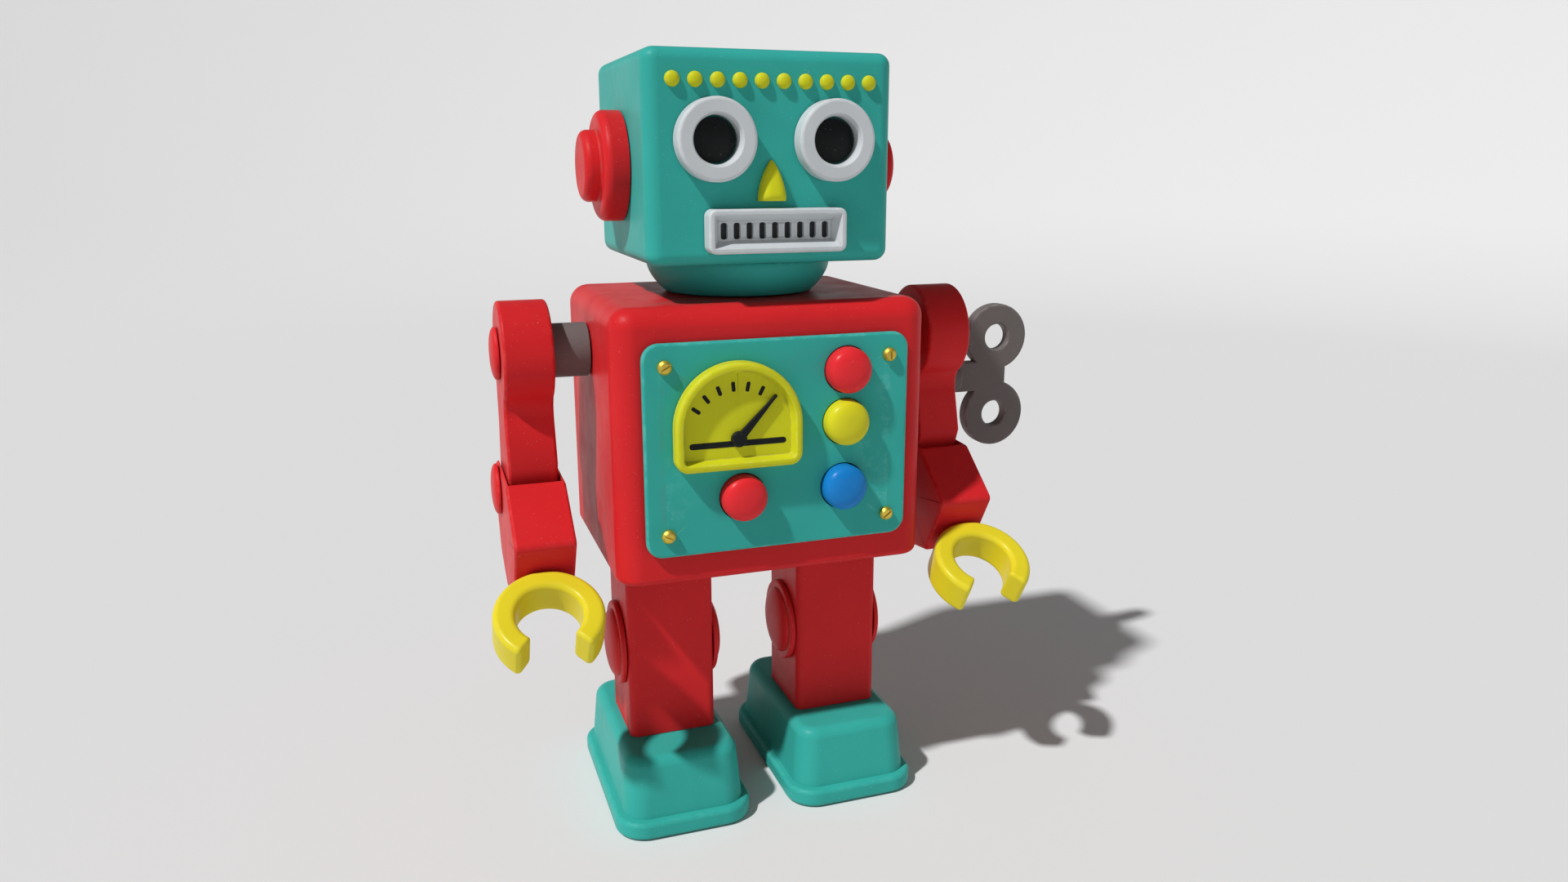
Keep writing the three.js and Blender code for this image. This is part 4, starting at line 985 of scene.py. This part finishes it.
def key_plate():
    """Flat figure in x and z: round the lower eye from where the stem meets it to the waist, and
    the same above, with the two holes, filled and given thickness with a rounded rim."""
    stem, waist = 4.7, 3.6
    meets_stem = np.arctan2(EYE_Z - stem, -np.sqrt(EYE_RADIUS ** 2 - (EYE_Z - stem) ** 2))
    meets_waist = 2 * np.pi + np.arctan2(np.sqrt(EYE_RADIUS ** 2 - waist ** 2), waist)
    angle = np.linspace(meets_stem, meets_waist, 60)
    lower = EYE_RADIUS * np.stack([np.cos(angle), np.sin(angle)], 1) + (EYE_X, -EYE_Z)
    upper = lower[::-1] * (1, -1)
    root = EYE_X - 14.7
    figure = np.concatenate([lower, upper, [[root, stem], [root, -stem]]])
    turn = np.linspace(0, -2 * np.pi, 40, endpoint=False)
    hole = EYE_HOLE * np.stack([np.cos(turn), np.sin(turn)], 1)
    curve = bpy.data.curves.new("key_figure", "CURVE")
    curve.dimensions, curve.fill_mode = "2D", "BOTH"
    rim = 0.7
    curve.bevel_depth, curve.bevel_resolution, curve.offset = rim, 3, -rim
    curve.extrude = KEY_THICK / 2 - rim
    for loop in (figure, hole + (EYE_X, EYE_Z), hole + (EYE_X, -EYE_Z)):
        line = curve.splines.new("POLY")
        line.points.add(len(loop) - 1)
        corners = np.zeros((len(loop), 4))
        corners[:, :2], corners[:, 3] = loop, 1
        line.points.foreach_set("co", corners.ravel())
        line.use_cyclic_u = True
    flat = linked("key_figure", curve)
    mesh = bpy.data.meshes.new_from_object(flat.evaluated_get(bpy.context.evaluated_depsgraph_get()))
    bpy.data.objects.remove(flat)
    points = np.empty(len(mesh.vertices) * 3)
    mesh.vertices.foreach_get("co", points)
    points = (points.reshape(-1, 3) @ FRONT + (0, key_axis[1], key_axis[2])) * MM + MIDDLE
    mesh.vertices.foreach_set("co", points.ravel())
    bm = bmesh.new()
    bm.from_mesh(mesh)
    bmesh.ops.remove_doubles(bm, verts=bm.verts, dist=1e-6)
    bmesh.ops.recalc_face_normals(bm, faces=bm.faces)
    bm.to_mesh(mesh)
    bm.free()
    return settle(linked("winding_key_plate", mesh), ("WEIGHTED_NORMAL", {"keep_sharp": True}))


finished(key_plate(), grey_paint, "winding_key", "grey_steel", "winding_key")
root, far = key_low[0], key_low[0] + 10
hub = arcs([[KEY_HOLE, root], [4.7, root], [4.7, far], [KEY_HOLE, far], [KEY_HOLE, root]],
           [0, 0.5, 0.8, 0, 0], 5, closed=False)
root, far = arbor_low[0], arbor_high[0]
arbor = arcs([[0, root], [2.3, root], [2.3, far], [0, far]], [0, 0.3, 0.5, 0], 4, closed=False)
for name, profile, steps, nodes in (("winding_key_hub", hub, 48, ()),
                                    ("winding_arbor_rod", arbor, 32, ("winding_arbor",))):
    piece = solid(name, [turned(profile, steps)], SIDE["left"], (0, *key_axis[1:]))
    finished(piece, grey_paint, "winding_key", "grey_steel", *nodes)

# -----------------------------------
# Clockwork, base plate and soles. The stamped and turned pieces inside and under the toy keep
# their own shapes and are left in bare metal.

bare_tin = metal("bare_tinplate", (188, 188, 182), (120, 112, 100), 0.35, 0.3)
spring_steel = metal("blued_spring_steel", (78, 90, 104), (52, 46, 44), 0.5, 0.25)
brass = metal("stamped_brass", (190, 160, 84), (112, 80, 36), 0.55, 0.28)
steel = metal("turned_steel", (128, 126, 124), (70, 62, 56), 0.45, 0.3)
FINISHES = {
    bare_tin: ("base_plate", "motor_plate_right", "motor_plate_left", "right_sole", "left_sole"),
    spring_steel: ("mainspring", "click"),
    brass: ("ratchet_wheel", "great_wheel", "crank_shaft", "crank_disc_right", "crank_disc_left", "governor"),
    steel: ("hip_axle",),
}
for material, nodes in FINISHES.items():
    for node in nodes:
        kept = frame["nodes"][node]
        kept.data.materials.clear()
        kept.data.materials.append(material)

# -----------------------------------
# Studio. A plain pale floor that bows up into a backdrop all round, one high light from the front
# and the robot's right, an even sky, and the camera in front of the robot's right shoulder.

paper = bpy.data.materials.new("pale_paper")
paper.use_nodes = True
paper_shader = paper.node_tree.nodes["Principled BSDF"]
paper_shader.inputs["Base Color"].default_value = srgb(226, 226, 226)
paper_shader.inputs["Roughness"].default_value = 0.9


def dish():
    """Floor and backdrop in one sheet turned round the robot: level out to a metre, then bowed up
    along an arc, then on at the slope it has reached, so that no horizon shows."""
    floor, radius, slope, run = 1.0, 1.4, np.radians(22), 2.4
    bow = np.linspace(0, slope, 16)
    out, up = floor + radius * np.sin(bow), radius * (1 - np.cos(bow))
    out = np.concatenate([[0, 0.2, 0.6], out, [out[-1] + run]])
    up = np.concatenate([[0, 0, 0], up, [up[-1] + run * np.tan(slope)]])
    sheet = solid("paper_dish", [turned(np.stack([out, up], 1) / MM, 96)], at=(0, 0, -0.2))
    sheet.data.polygons.foreach_set("use_smooth", np.ones(len(sheet.data.polygons), bool))
    sheet.data.materials.append(paper)
    return sheet


dish()
sky = bpy.data.worlds.new("even_sky")
sky.use_nodes = True
glow = sky.node_tree.nodes["Background"]
glow.inputs["Color"].default_value = (1, 1, 1, 1)
glow.inputs["Strength"].default_value = 0.15
bpy.context.scene.world = sky
sun = bpy.data.lights.new("high_left_light", "SUN")
sun.energy, sun.angle = 3.0, np.radians(2.5)
sun_piece = linked("high_left_light", sun)
sun_piece.rotation_mode = "QUATERNION"
sun_piece.rotation_quaternion = Vector((0.7, 0.3, -1.0)).to_track_quat("-Z", "Y")

lens = bpy.data.cameras.new("shoulder_camera")
lens.sensor_width, lens.lens = 36.0, 25.6
lens.clip_start, lens.clip_end = 0.01, 20
camera = linked("shoulder_camera", lens)
camera.location = Vector(MIDDLE) + Vector((-0.08809, -0.28865, 0.17445))
camera.rotation_mode = "QUATERNION"
camera.rotation_quaternion = Vector((0.3211, 0.9153, -0.2429)).to_track_quat("-Z", "Y")
bpy.context.scene.camera = camera
bpy.context.scene.view_settings.view_transform = "Standard"
